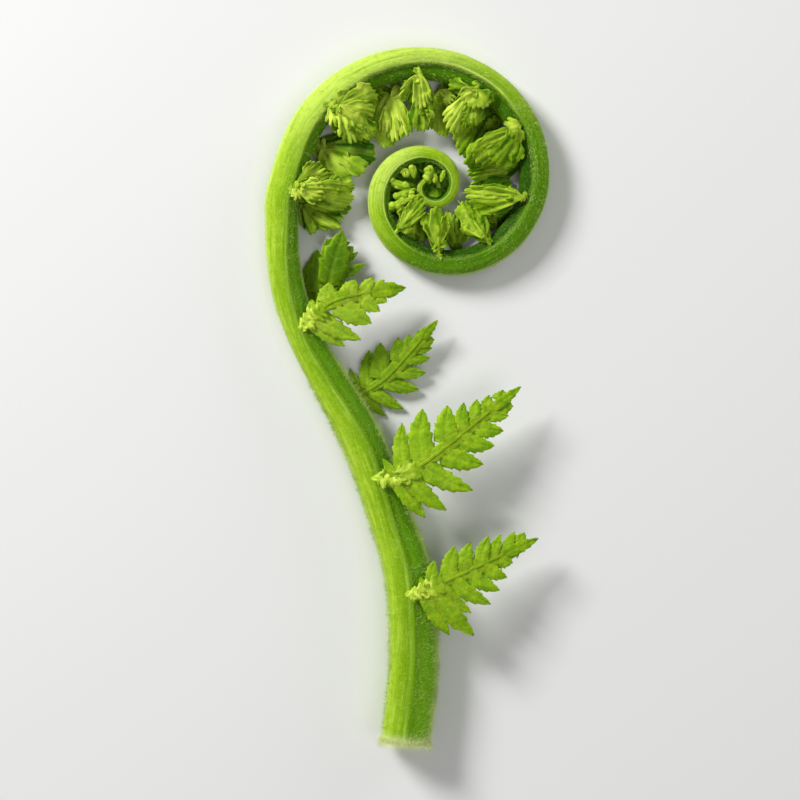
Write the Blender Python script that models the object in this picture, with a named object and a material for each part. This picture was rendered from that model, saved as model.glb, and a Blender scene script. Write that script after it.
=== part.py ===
"""A young fern frond, picked while its top is still rolled in a crozier, and laid on its side.

The frond is one grown piece, so it is one solid: a hairy stalk that runs on as the rachis into the coil,
with its pinnae fused to it in two rows. Sizes are in millimetres and angles in degrees until the mesh is
made. X runs to the right of the frond, Y from the cut end to the coil, and Z up from the surface it lies on.
"""

import math

import bmesh
import bpy
import numpy as np
from mathutils import Matrix, Vector

MM = 0.001

# The stalk's centre line from the cut end up: x, y and half the stalk's width.
STALK = (
    (-0.1, -62.3, 4.5),
    (0.7, -54.7, 4.5),
    (1.3, -47.5, 4.5),
    (1.0, -36.7, 4.5),
    (-0.3, -29.5, 4.35),
    (-2.8, -22.3, 4.0),
    (-6.6, -11.5, 3.95),
    (-9.9, -4.3, 3.8),
    (-14.0, 2.9, 3.45),
    (-18.0, 10.1, 3.15),
    (-20.8, 17.3, 3.1),
    (-22.2, 24.5, 3.1),
    (-22.5, 31.0, 3.1),
)

# The coil's pole, and the centre line's radius and half width at each quarter turn inwards from its left.
POLE = (4.95, 37.6)
QUARTER_TURNS = (
    (27.0, 3.15),
    (22.15, 3.05),
    (18.0, 2.8),
    (13.3, 2.35),
    (9.7, 2.0),
    (5.75, 1.45),
    (3.6, 1.0),
    (2.9, 0.8),
    (2.45, 0.6),
    (1.35, 0.45),
    (0.75, 0.4),
)
COIL_START = 180.0
KNOT_TURN = 30.0

# The rachis cut across: places from the back (-1) to the groove side (+1), and how deep it is there, in
# half widths. The widest place is the shoulder that the pinnae grow from.
SECTION = ((-1.0, 0.25), (-0.78, 0.66), (-0.35, 0.9), (0.18, 0.9), (0.36, 0.7), (0.78, 0.52), (1.0, 0.2))
DEEPEST = 0.9
SHOULDER = 0.18

# How the frond lies: it touches at three flat spots of the underside, one near the cut end and two on the
# coil, and is held up a little between them. The coil's inner turns stay level with the outer one.
REST_SPOTS = (6.0, 104.0, 182.0)
REST_HALF_SPAN = 3.0
REST_FADE = 9.0
REST_LIFT = 0.25
COIL_HEIGHT = 2.5

# The coil's tip is rounded by rings of this share of the last section, this far ahead of it.
TIP_ROUNDING = ((0.85, 0.25), (0.45, 0.45))

RING_STEP = 4.6
RING_TURN = 12.5
CURVE_STEPS = 24

# A pinna's blade: its thickness, the wing along its rib, how deep its root is sunk and the least height.
BLADE = 0.65
WING, WING_TAPER = 0.52, 0.4
ROOT_DEPTH = 0.5
LOWEST_BLADE = 0.75
DROOP = 0.14

# A leaflet leans ahead by this angle at the rib's foot and at its tip. It fills this much of its share of
# the rib, and is never narrower than this share of its own length, or than this width.
SLANT_AT_FOOT, SLANT_AT_TIP = 68.0, 38.0
FIRST_FOOT, LEAST_GAP = 0.16, 0.05
OPEN_FILL, COIL_FILL = 0.94, 1.3
LEAST_SHARE, LEAST_WIDTH = 0.27, 1.0

# A leaflet's edges towards the rib's foot and towards its tip: how far out from the rib, and how wide there.
BACK_EDGE = ((0.3, 0.96), (0.58, 1.0), (0.82, 0.56))
FRONT_EDGE = ((0.36, 0.9), (0.64, 0.94), (0.86, 0.44))

# The open pinnae from the cut end up. The root is this far along the stalk, on its upper (1) or lower (-1)
# shoulder. The rib goes from there over an elbow to its tip (x, y, z). left and right give the tips of the
# leaflets on each side of the rib, from its foot on, as seen from above (x, y).
OPEN_PINNAE = (
    dict(
        arc=26.9,
        side=1,
        rib=((5.3, -33.7, 9.2), (23.3, -25.6, 6.4)),
        left=(
            (2.4, -32.2), (4.9, -29.2), (8.6, -26.8), (11.4, -26.1), (14.6, -25.1),
            (16.8, -24.8), (19.3, -24.3), (21.1, -24.4),
        ),
        right=(
            (7.6, -42.6), (12.0, -42.6), (11.5, -38.6), (15.0, -37.1), (16.6, -34.7),
            (17.9, -32.4), (18.9, -29.8), (20.5, -27.5),
        ),
    ),
    dict(
        arc=48.9,
        side=1,
        rib=((1.8, -12.8, 9.0), (20.2, 1.5, 6.6)),
        left=(
            (-4.2, -11.2), (-0.8, -4.8), (2.8, -2.3), (7.3, -1.7), (10.2, -1.2), (12.6, -0.6),
            (14.7, 0.1), (17.2, 1.0),
        ),
        right=(
            (3.3, -21.7), (7.0, -20.4), (11.8, -16.8), (13.7, -12.2), (15.7, -8.9), (17.3, -6.2),
            (18.2, -3.5), (19.0, -1.8),
        ),
    ),
    dict(
        arc=63.8,
        side=-1,
        rib=((-4.0, 3.0, 2.2), (5.4, 13.4, 3.6)),
        left=(
            (-10.2, 4.9), (-6.8, 8.3), (-4.7, 9.6), (-1.5, 10.5), (0.4, 11.1), (2.1, 11.7),
            (3.3, 12.4),
        ),
        right=(
            (-3.9, -3.6), (-0.6, -2.3), (2.2, 1.2), (3.5, 4.2), (4.2, 6.9), (4.6, 8.7),
            (5.0, 10.2),
        ),
    ),
    dict(
        arc=78.5,
        side=1,
        rib=((-12.8, 17.0, 7.6), (-0.4, 19.4, 5.4)),
        left=(
            (-17.0, 17.3), (-13.8, 20.2), (-9.1, 20.7), (-5.8, 21.2), (-4.0, 20.8), (-2.2, 20.3),
        ),
        right=(
            (-11.1, 8.9), (-8.2, 10.1), (-6.3, 13.0), (-4.8, 15.2), (-3.5, 16.8), (-1.9, 18.2),
        ),
    ),
    dict(
        arc=82.0,
        side=-1,
        rib=((-13.2, 20.9, 2.4), (-11.6, 29.5, 3.6)),
        left=(
            (-17.8, 18.0), (-18.1, 24.1), (-16.2, 26.5), (-14.5, 28.3),
        ),
        right=(
            (-9.8, 19.6), (-7.5, 23.9), (-8.8, 26.0), (-9.6, 27.0),
        ),
    ),
)

# The crumpled pinnae inside the coil, on its lower and upper shoulder in turn: the turn that the root stands
# at, the side, the tip as seen from above (x, y) and the blade's width.
COIL_PINNAE = (
    (186.0, -1, (-11.3, 31.2), 7.2),
    (180.0, 1, (-9.1, 37.1), 6.8),
    (160.0, -1, (-5.7, 42.1), 7.8),
    (141.0, 1, (-7.0, 46.6), 8.0),
    (117.0, -1, (-2.0, 45.5), 7.4),
    (97.0, 1, (3.1, 47.3), 4.2),
    (83.0, -1, (6.8, 46.8), 4.6),
    (66.0, 1, (8.0, 47.5), 4.8),
    (51.0, -1, (9.6, 44.3), 6.5),
    (34.0, 1, (10.0, 41.8), 4.4),
    (17.0, -1, (10.5, 40.1), 5.8),
    (-7.0, 1, (9.8, 36.7), 3.4),
    (-26.0, -1, (12.4, 34.9), 4.7),
    (-47.0, 1, (9.1, 35.6), 4.3),
    (-71.0, -1, (7.5, 34.0), 2.4),
    (-87.0, 1, (5.5, 34.6), 3.2),
    (-113.0, -1, (3.7, 32.9), 1.8),
    (-131.0, 1, (3.3, 35.3), 2.6),
)
COIL_PAIRS = 3
COIL_TIP_LEVEL = 0.5
COIL_ELBOW = 0.4
COIL_UPPER_RISE, COIL_LOWER_RISE = 1.0, 0.0
FAN_START, FAN_SPAN = 0.24, 0.74
FAN_WIDTH, FAN_TAPER = 1.06, 0.5

# The youngest pinnae, still rolled into fingers and knobs: the turn, the side, how far in they reach and how
# thick they are. Their foot is inside the rachis: how far in and how far up or down, in half widths.
BUD_FOOT, BUD_LEVEL = 0.1, 0.35
BUDS = (
    (-156.0, -1, 4.6, 1.4),
    (-167.0, 1, 3.6, 1.3),
    (-187.0, -1, 2.8, 1.2),
    (-209.0, 1, 2.5, 1.9),
    (-231.0, -1, 2.2, 1.1),
    (-262.0, 1, 2.0, 1.3),
    (-590.0, -1, 1.1, 0.9),
    (-630.0, 1, 1.2, 0.9),
    (-672.0, -1, 0.9, 0.8),
)


def smooth_curve(knots, steps):
    """Points of a Catmull-Rom curve through the knots, with this many steps to a span."""
    knots = np.array(knots, float)
    ends = np.vstack([2 * knots[0] - knots[1], knots, 2 * knots[-1] - knots[-2]])
    t = np.arange(steps)[:, None] / steps
    spans = []
    for a, b, c, d in zip(ends, ends[1:], ends[2:], ends[3:]):
        bend = 2 * a - 5 * b + 4 * c - d
        twist = -a + 3 * b - 3 * c + d
        spans.append(b + 0.5 * t * (c - a + t * (bend + t * twist)))
    return np.vstack([*spans, knots[-1:]])


class Rachis:
    """The centre line from the cut end to the coil's tip, read by the way along it."""

    def __init__(self):
        quarters = smooth_curve(QUARTER_TURNS, int(90 / KNOT_TURN))
        coil = []
        for i, (radius, half) in enumerate(quarters):
            angle = math.radians(COIL_START - KNOT_TURN * i)
            x, y = POLE[0] + radius * math.cos(angle), POLE[1] + radius * math.sin(angle)
            coil.append((x, y, half))
        self.line = smooth_curve([*STALK, *coil], CURVE_STEPS)
        steps = np.linalg.norm(np.diff(self.line[:, :2], axis=0), axis=1)
        self.way = np.concatenate([[0.0], np.cumsum(steps)])
        self.length = float(self.way[-1])
        self.knot_ways = self.way[len(STALK) * CURVE_STEPS :: CURVE_STEPS]
        self.knot_turns = COIL_START - KNOT_TURN * np.arange(len(self.knot_ways))

    def arc_at(self, turn):
        """The way along to where the coil has turned to this angle."""
        return float(np.interp(-turn, -self.knot_turns, self.knot_ways))

    def read(self, arc, column):
        return float(np.interp(arc, self.way, self.line[:, column]))

    def point(self, arc):
        arc = min(max(arc, 0.0), self.length)
        return Vector((self.read(arc, 0), self.read(arc, 1), 0))

    def half(self, arc):
        return self.read(arc, 2)

    def height(self, arc):
        """The centre line's height over the surface, a little more between the spots that it rests on."""
        away = min(abs(arc - spot) for spot in REST_SPOTS) - REST_HALF_SPAN
        fade = min(max(away / REST_FADE, 0.0), 1.0)
        lift = REST_LIFT * fade * fade * (3 - 2 * fade)
        return max(DEEPEST * self.half(arc) + lift, COIL_HEIGHT)

    def frame(self, arc):
        """The centre there, the way ahead, and the way to the grooved side, which faces the coil's pole."""
        reach = 0.05
        before, after = (self.point(arc + step) for step in (-reach, reach))
        along = (after - before).normalized()
        centre = self.point(arc) + Vector((0, 0, self.height(arc)))
        return centre, along, Vector((along.y, -along.x, 0))

    def stops(self):
        """Where the sweep's rings stand: evenly along the stalk, then closer and closer round the coil."""
        start = self.arc_at(COIL_START)
        stalk = np.linspace(0.0, start, round(start / RING_STEP), endpoint=False)
        spots = [spot + end * REST_HALF_SPAN for spot in REST_SPOTS[:1] for end in (-1, 1)]
        turns = np.arange(COIL_START, self.knot_turns[-1], -RING_TURN)
        coil = [self.arc_at(turn) for turn in turns]
        return sorted([*stalk, *spots, *coil, self.length])


def section_ring(rachis, arc):
    """The corners of the rachis's section at this place, once round."""
    centre, _, inward = rachis.frame(arc)
    half = rachis.half(arc)
    upper = [(across * half, deep * half) for across, deep in SECTION]
    outline = upper + [(across, -deep) for across, deep in reversed(upper)]
    return [centre + across * inward + Vector((0, 0, deep)) for across, deep in outline]


def sweep(bm, rings):
    """A closed solid through these rings, capped at both ends."""
    rows = [[bm.verts.new(corner * MM) for corner in ring] for ring in rings]
    for row, following in zip(rows, rows[1:]):
        for i in range(len(row)):
            bm.faces.new((row[i - 1], row[i], following[i], following[i - 1]))
    bm.faces.new(rows[0])
    bm.faces.new(rows[-1])
    bmesh.ops.recalc_face_normals(bm, faces=bm.faces)


def finish(bm, name, material, collection=None):
    """Turns a bmesh into an object with its faces split into triangles."""
    bmesh.ops.triangulate(bm, faces=bm.faces)
    mesh = bpy.data.meshes.new(name)
    bm.to_mesh(mesh)
    bm.free()
    mesh.materials.append(material)
    made = bpy.data.objects.new(name, mesh)
    (collection or bpy.context.scene.collection).objects.link(made)
    return made


def make_rachis(rachis, material):
    """The stalk and the coil, with a small rounded bud at the coil's tip."""
    bm = bmesh.new()
    rings = [section_ring(rachis, arc) for arc in rachis.stops()]
    tip, along, _ = rachis.frame(rachis.length)
    last = rings[-1]
    for share, ahead in TIP_ROUNDING:
        rings.append([tip + (corner - tip) * share + along * ahead for corner in last])
    sweep(bm, rings)
    return finish(bm, "frond", material)


class Rib:
    """A pinna's midrib: a curve from the root over an elbow to the tip, read by its share of the length."""

    def __init__(self, points):
        self.line = smooth_curve(points, CURVE_STEPS)
        steps = np.linalg.norm(np.diff(self.line, axis=0), axis=1)
        way = np.concatenate([[0.0], np.cumsum(steps)])
        self.length = float(way[-1])
        self.shares = way / way[-1]

    def at(self, share):
        return Vector([float(np.interp(share, self.shares, column)) for column in self.line.T])

    def ahead(self, share):
        reach = 0.03
        step = self.at(min(share + reach, 1.0)) - self.at(max(share - reach, 0.0))
        return step.normalized()

    def foot_of(self, tip, first):
        """The share where a leaflet with this tip leaves the rib, leaning ahead less and less openly."""
        best, found = None, first
        for share in np.arange(first, 0.97, 0.01):
            out = tip - self.at(share)
            out.z = 0
            lean = math.degrees(out.angle(self.ahead(share)))
            miss = abs(lean - (SLANT_AT_FOOT + (SLANT_AT_TIP - SLANT_AT_FOOT) * share))
            if best is None or miss < best:
                best, found = miss, float(share)
        return found


def leaflet_feet(rib, tips):
    """Where this side's leaflets leave the rib, in order and never crowded."""
    feet = []
    for j, tip in enumerate(tips):
        least = feet[-1] + LEAST_GAP if feet else FIRST_FOOT
        most = 1.0 - (len(tips) - j) * LEAST_GAP
        feet.append(min(max(rib.foot_of(tip, FIRST_FOOT), least), most))
    return feet


def blade_face(bm, rib, left_tips, right_tips, fill):
    """The pinna's blade as one thin face: a wing along the rib, cut into leaflets on both sides."""
    sides = []
    for side, tips in ((1, left_tips), (-1, right_tips)):
        feet = leaflet_feet(rib, tips)
        first = feet[0] - (feet[1] - feet[0]) / 2
        middles = [(here + after) / 2 for here, after in zip(feet, feet[1:])]
        sides.append((side, tips, feet, [max(first, FIRST_FOOT / 2), *middles, (feet[-1] + 1) / 2]))

    def lifted(point):
        return bm.verts.new(Vector((point.x, point.y, max(point.z, LOWEST_BLADE))) * MM)

    cuts = [(one + other) / 2 for one, other in zip(sides[0][3], sides[1][3])]
    spine = [lifted(rib.at(share)) for share in [0.0, *cuts, 1.0]]
    for side, tips, feet, gaps in sides:
        wing = []
        for share in [0.0, *gaps]:
            ahead = rib.ahead(share)
            out = Vector((-ahead.y, ahead.x, 0)).normalized() * side
            wing.append(lifted(rib.at(share) + out * (WING * (1 - WING_TAPER * share))))
        bm.faces.new([spine[0], spine[1], wing[1], wing[0]][::side])
        bm.faces.new([spine[-2], spine[-1], wing[-1]][::side])
        for j, (tip, foot) in enumerate(zip(tips, feet)):
            base = rib.at(foot)
            reach = tip - base
            reach.z = 0
            drop = Vector((0, 0, -DROOP * reach.length))
            lean = reach.angle(rib.ahead(foot))
            room = (rib.at(gaps[j + 1]) - rib.at(gaps[j])).length * math.sin(lean)
            width = max(room * fill, reach.length * LEAST_SHARE, LEAST_WIDTH)
            across = Vector((reach.y, -reach.x, 0)).normalized() * (side * width / 2)

            def outline(edge, way):
                return [lifted(base + reach * on + across * (way * wide) + drop * on**2) for on, wide in edge]

            back, front = outline(BACK_EDGE, -1), outline(FRONT_EDGE, 1)
            point = lifted(base + reach + drop)
            bm.faces.new([spine[j + 1], spine[j + 2], wing[j + 2], wing[j + 1]][::side])
            bm.faces.new([wing[j + 1], wing[j + 2], front[0], back[0]][::side])
            for k in range(len(back) - 1):
                bm.faces.new([back[k], front[k], front[k + 1], back[k + 1]][::side])
            bm.faces.new([back[-1], front[-1], point][::side])


def make_pinna(name, rib, tips, fill, material, collection):
    """The blade's face, given its thickness by a second one a little below it along its normals."""
    bm = bmesh.new()
    blade_face(bm, rib, *tips, fill)
    bmesh.ops.triangulate(bm, faces=bm.faces)
    bm.normal_update()
    normals = {vert.co.to_tuple(): vert.normal.copy() for vert in bm.verts}
    made = bmesh.ops.extrude_face_region(bm, geom=bm.faces[:])["geom"]
    for item in made:
        if isinstance(item, bmesh.types.BMVert):
            item.co -= normals[item.co.to_tuple()] * (BLADE * MM)
    bmesh.ops.recalc_face_normals(bm, faces=bm.faces)
    return finish(bm, name, material, collection)


def root_of(rachis, arc, side):
    """A pinna's root: inside the rachis, under its shoulder."""
    centre, _, inward = rachis.frame(arc)
    half = rachis.half(arc)
    return centre + inward * (SHOULDER * half) + Vector((0, 0, side * (DEEPEST * half - ROOT_DEPTH)))


def make_open_pinnae(rachis, material, collection):
    for i, pinna in enumerate(OPEN_PINNAE):
        root = root_of(rachis, pinna["arc"], pinna["side"])
        elbow, tip = (Vector(point) for point in pinna["rib"])
        rib = Rib([root, elbow, tip])
        sides = [[Vector((x, y, 0)) for x, y in pinna[key]] for key in ("left", "right")]
        make_pinna(f"open_{i}", rib, sides, OPEN_FILL, material, collection)


def make_coil_pinnae(rachis, material, collection):
    """Each is a short fan: its leaflets' tips stand across its width, and the middle ones reach furthest."""
    for i, (turn, side, tip, width) in enumerate(COIL_PINNAE):
        arc = rachis.arc_at(turn)
        root = root_of(rachis, arc, side)
        level = rachis.height(arc) + side * COIL_TIP_LEVEL
        end = Vector((*tip, level))
        elbow = root.lerp(end, COIL_ELBOW)
        elbow.z = root.z + (COIL_UPPER_RISE if side > 0 else COIL_LOWER_RISE)
        rib = Rib([root, elbow, end])
        chord = end - root
        chord.z = 0
        across = Vector((-chord.y, chord.x, 0)).normalized() * (width / 2)
        left_tips, right_tips = [], []
        for j in range(COIL_PAIRS):
            share = (j + 1) / (COIL_PAIRS + 0.3)
            middle = root + chord * (FAN_START + FAN_SPAN * share)
            spread = across * (FAN_WIDTH - FAN_TAPER * share**2)
            left_tips.append(middle + spread)
            right_tips.append(middle - spread)
        make_pinna(f"coiled_{i}", rib, (left_tips, right_tips), COIL_FILL, material, collection)


def make_buds(rachis, material, collection):
    """Each is a blunt finger that stands on the groove's side of the rachis and points in."""
    for i, (turn, side, reach, thick) in enumerate(BUDS):
        arc = rachis.arc_at(turn)
        centre, _, inward = rachis.frame(arc)
        half = rachis.half(arc)
        foot = centre + inward * (BUD_FOOT * half) + Vector((0, 0, side * BUD_LEVEL * half))
        length = reach + (1 - BUD_FOOT) * half
        bm = bmesh.new()
        bmesh.ops.create_icosphere(bm, subdivisions=1, radius=1.0)
        bmesh.ops.scale(bm, verts=bm.verts, vec=(length / 2, thick / 2, thick / 2))
        turned = Matrix.Rotation(math.atan2(inward.y, inward.x), 3, "Z")
        bmesh.ops.rotate(bm, verts=bm.verts, matrix=turned)
        bmesh.ops.translate(bm, verts=bm.verts, vec=foot + inward * (length / 2))
        bmesh.ops.scale(bm, verts=bm.verts, vec=(MM, MM, MM))
        finish(bm, f"bud_{i}", material, collection)


def join_all(body, collection):
    """One Boolean union fuses the pinnae and the buds to the rachis."""
    union = body.modifiers.new("fuse", "BOOLEAN")
    union.operation = "UNION"
    union.solver = "MANIFOLD"
    union.operand_type = "COLLECTION"
    union.collection = collection
    graph = bpy.context.evaluated_depsgraph_get()
    fused = bpy.data.meshes.new_from_object(body.evaluated_get(graph))
    body.modifiers.clear()
    body.data = fused
    for part in list(collection.objects):
        bpy.data.objects.remove(part)
    bpy.data.collections.remove(collection)


def keep_largest(mesh):
    """Fills the pockets that the union sealed between a blade and the rachis, and drops loose scraps."""
    bm = bmesh.new()
    bm.from_mesh(mesh)
    left = set(bm.verts)
    islands = []
    while left:
        island, edge = set(), [left.pop()]
        while edge:
            vert = edge.pop()
            island.add(vert)
            near = {other.other_vert(vert) for other in vert.link_edges} & left
            left -= near
            edge.extend(near)
        islands.append(island)
    islands.sort(key=len)
    for island in islands[:-1]:
        bmesh.ops.delete(bm, geom=list(island), context="VERTS")
    bm.to_mesh(mesh)
    bm.free()


def frond_green():
    material = bpy.data.materials.new("frond_green")
    material.use_nodes = True
    shader = material.node_tree.nodes["Principled BSDF"]
    shader.inputs["Base Color"].default_value = (0.27, 0.47, 0.03, 1.0)
    shader.inputs["Roughness"].default_value = 0.5
    shader.inputs["Metallic"].default_value = 0.0
    return material


def clear_scene():
    for old in list(bpy.data.objects):
        bpy.data.objects.remove(old)


def main():
    clear_scene()
    material = frond_green()
    rachis = Rachis()
    repeats = bpy.data.collections.new("repeats")
    bpy.context.scene.collection.children.link(repeats)
    body = make_rachis(rachis, material)
    make_open_pinnae(rachis, material, repeats)
    make_coil_pinnae(rachis, material, repeats)
    make_buds(rachis, material, repeats)
    join_all(body, repeats)
    keep_largest(body.data)
    body.data.shade_smooth()
    body.data.set_sharp_from_angle(angle=math.radians(40))


main()
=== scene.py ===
import math

import bmesh
import bpy
import numpy as np
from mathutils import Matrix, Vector


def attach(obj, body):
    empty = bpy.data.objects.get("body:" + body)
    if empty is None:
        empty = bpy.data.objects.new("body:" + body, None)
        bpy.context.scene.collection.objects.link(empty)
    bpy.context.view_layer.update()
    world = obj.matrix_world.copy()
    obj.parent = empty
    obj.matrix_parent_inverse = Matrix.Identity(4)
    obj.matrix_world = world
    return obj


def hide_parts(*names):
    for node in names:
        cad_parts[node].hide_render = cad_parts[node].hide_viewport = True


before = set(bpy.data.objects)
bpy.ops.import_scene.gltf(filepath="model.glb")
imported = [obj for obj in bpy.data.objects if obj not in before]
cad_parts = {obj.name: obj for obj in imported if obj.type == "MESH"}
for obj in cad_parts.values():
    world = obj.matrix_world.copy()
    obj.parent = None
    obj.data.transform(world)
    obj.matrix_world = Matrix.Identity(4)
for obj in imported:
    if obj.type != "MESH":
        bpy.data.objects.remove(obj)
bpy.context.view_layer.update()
metre = 0.001  # everything below is worked out in millimetres

photoValues = {
    "pixel": 0.18,  # millimetres of the frond to a pixel of the photograph
    "side": 800,  # the photograph's side in pixels
    "origin": (406.5, 396.0),  # the pixel where the frond's x and y are 0
}


def fromPhoto(x, y):
    originX, originY = photoValues["origin"]
    return np.array(((x - originX) * photoValues["pixel"], (originY - y) * photoValues["pixel"]))


# the line that the frond grows along
lineValues = {
    "stalk": (  # x, y and half the width, from the cut end up
        (-0.1, -62.3, 4.5), (0.7, -54.7, 4.5), (1.3, -47.5, 4.5), (1.0, -36.7, 4.5), (-0.3, -29.5, 4.35),
        (-2.8, -22.3, 4.0), (-6.6, -11.5, 3.95), (-9.9, -4.3, 3.8), (-14.0, 2.9, 3.45), (-18.0, 10.1, 3.15),
        (-20.8, 17.3, 3.1), (-22.2, 24.5, 3.1), (-22.5, 31.0, 3.1),
    ),
    "pole": (4.95, 37.6),  # the middle of the coil
    "quarterTurns": (  # the coil's radius and half width, a quarter turn apart
        (27.0, 3.15), (22.15, 3.05), (18.0, 2.8), (13.3, 2.35), (9.7, 2.0), (5.75, 1.45), (3.6, 1.0),
        (2.9, 0.8), (2.45, 0.6), (1.35, 0.45), (0.75, 0.4),
    ),
    "coilStart": 180.0,  # degrees round the pole, and so on clockwise
    "knotTurn": 30.0,
    "curveSteps": 24,
    "restSpots": (6.0, 104.0, 182.0),  # ways along at which it lies on the floor
    "restHalfSpan": 3.0,
    "restFade": 9.0,
    "restLift": 0.25,
    "coilHeight": 2.5,  # the middle of the thin inner turns is no lower
    "deepest": 0.9,  # half the depth, in half widths
    "frameStep": 0.1,
}


def smoothCurve(knots, steps):
    knots = np.array(knots, float)
    ends = np.vstack([2 * knots[0] - knots[1], knots, 2 * knots[-1] - knots[-2]])
    t = np.arange(steps)[:, None] / steps
    spans = []
    for a, b, c, d in zip(ends, ends[1:], ends[2:], ends[3:]):
        bend = 2 * a - 5 * b + 4 * c - d
        twist = -a + 3 * b - 3 * c + d
        spans.append(b + 0.5 * t * (c - a + t * (bend + t * twist)))
    return np.vstack([*spans, knots[-1:]])


def smoothStep(low, high, x):
    t = np.clip((x - low) / (high - low), 0, 1)
    return t * t * (3 - 2 * t)


def unit(vectors):
    return vectors / np.maximum(np.linalg.norm(vectors, axis=-1, keepdims=True), 1e-9)


upright = np.array((0, 0, 1.0))


class growthLine:  # read by the way along it, in millimetres from the cut end
    def __init__(self, values):
        quarters = smoothCurve(values["quarterTurns"], int(90 / values["knotTurn"]))
        turns = np.radians(values["coilStart"] - values["knotTurn"] * np.arange(len(quarters)))
        coil = np.column_stack([
            values["pole"][0] + quarters[:, 0] * np.cos(turns),
            values["pole"][1] + quarters[:, 0] * np.sin(turns),
            quarters[:, 1],
        ])
        self.values = values
        self.line = smoothCurve([*values["stalk"], *coil], values["curveSteps"])
        steps = np.linalg.norm(np.diff(self.line[:, :2], axis=0), axis=1)
        self.way = np.concatenate([[0.0], np.cumsum(steps)])
        self.length = self.way[-1]
        self.knotWays = self.way[len(values["stalk"]) * values["curveSteps"]::values["curveSteps"]]
        self.knotTurns = np.degrees(turns)

    def arcAt(self, turn):
        return float(np.interp(-turn, -self.knotTurns, self.knotWays))

    def read(self, arc, column):
        return np.interp(arc, self.way, self.line[:, column])

    def half(self, arc):
        return self.read(arc, 2)

    def height(self, arc):
        spots = np.array(self.values["restSpots"])
        away = np.min(np.abs(np.asarray(arc)[..., None] - spots), axis=-1) - self.values["restHalfSpan"]
        lift = self.values["restLift"] * smoothStep(0, self.values["restFade"], away)
        return np.maximum(self.values["deepest"] * self.half(arc) + lift, self.values["coilHeight"])

    def frame(self, arc):
        arc = np.asarray(arc, float)
        centre = np.stack([self.read(arc, 0), self.read(arc, 1), self.height(arc)], -1)
        step = self.values["frameStep"]
        back, ahead = np.clip(arc - step, 0, self.length), np.clip(arc + step, 0, self.length)
        along = np.stack([self.read(ahead, k) - self.read(back, k) for k in (0, 1)], -1)
        along = unit(np.concatenate([along, np.zeros_like(along[..., :1])], -1))
        inward = np.stack([along[..., 1], -along[..., 0], np.zeros_like(along[..., 0])], -1)
        return centre, along, inward


growth = growthLine(lineValues)


def waveNoise(seed, x, y, cellsX, cellsY):  # smooth noise from -1 to 1, which repeats past 1
    table = np.random.default_rng(seed).uniform(-1, 1, (cellsX, cellsY))
    gx, gy = x * cellsX, y * cellsY
    ix, iy = np.floor(gx).astype(int), np.floor(gy).astype(int)
    fx, fy = gx - ix, gy - iy
    fx, fy = fx * fx * (3 - 2 * fx), fy * fy * (3 - 2 * fy)
    a = table[ix % cellsX, iy % cellsY]
    b = table[(ix + 1) % cellsX, iy % cellsY]
    c = table[ix % cellsX, (iy + 1) % cellsY]
    d = table[(ix + 1) % cellsX, (iy + 1) % cellsY]
    return (a * (1 - fx) + b * fx) * (1 - fy) + (c * (1 - fx) + d * fx) * fy


# shader maths
class shaderValue:  # a socket whose operators add Math nodes
    def __init__(self, finish, socket):
        self.finish = finish
        self.socket = socket

    def join(self, operation, first, second=None):
        inputs = {0: first} if second is None else {0: first, 1: second}
        return self.finish.add("ShaderNodeMath", {"operation": operation}, inputs)

    def __add__(self, other):
        return self.join("ADD", self, other)

    def __radd__(self, other):
        return self.join("ADD", other, self)

    def __sub__(self, other):
        return self.join("SUBTRACT", self, other)

    def __rsub__(self, other):
        return self.join("SUBTRACT", other, self)

    def __mul__(self, other):
        return self.join("MULTIPLY", self, other)

    def __rmul__(self, other):
        return self.join("MULTIPLY", other, self)

    def absolute(self):
        return self.join("ABSOLUTE", self)

    def fraction(self):
        return self.join("FRACT", self)

    def step(self, low, high):  # 0 below low, 1 above high
        inputs = {"Value": self, "From Min": low, "From Max": high}
        return self.finish.add("ShaderNodeMapRange", {"interpolation_type": "SMOOTHSTEP"}, inputs)


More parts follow.
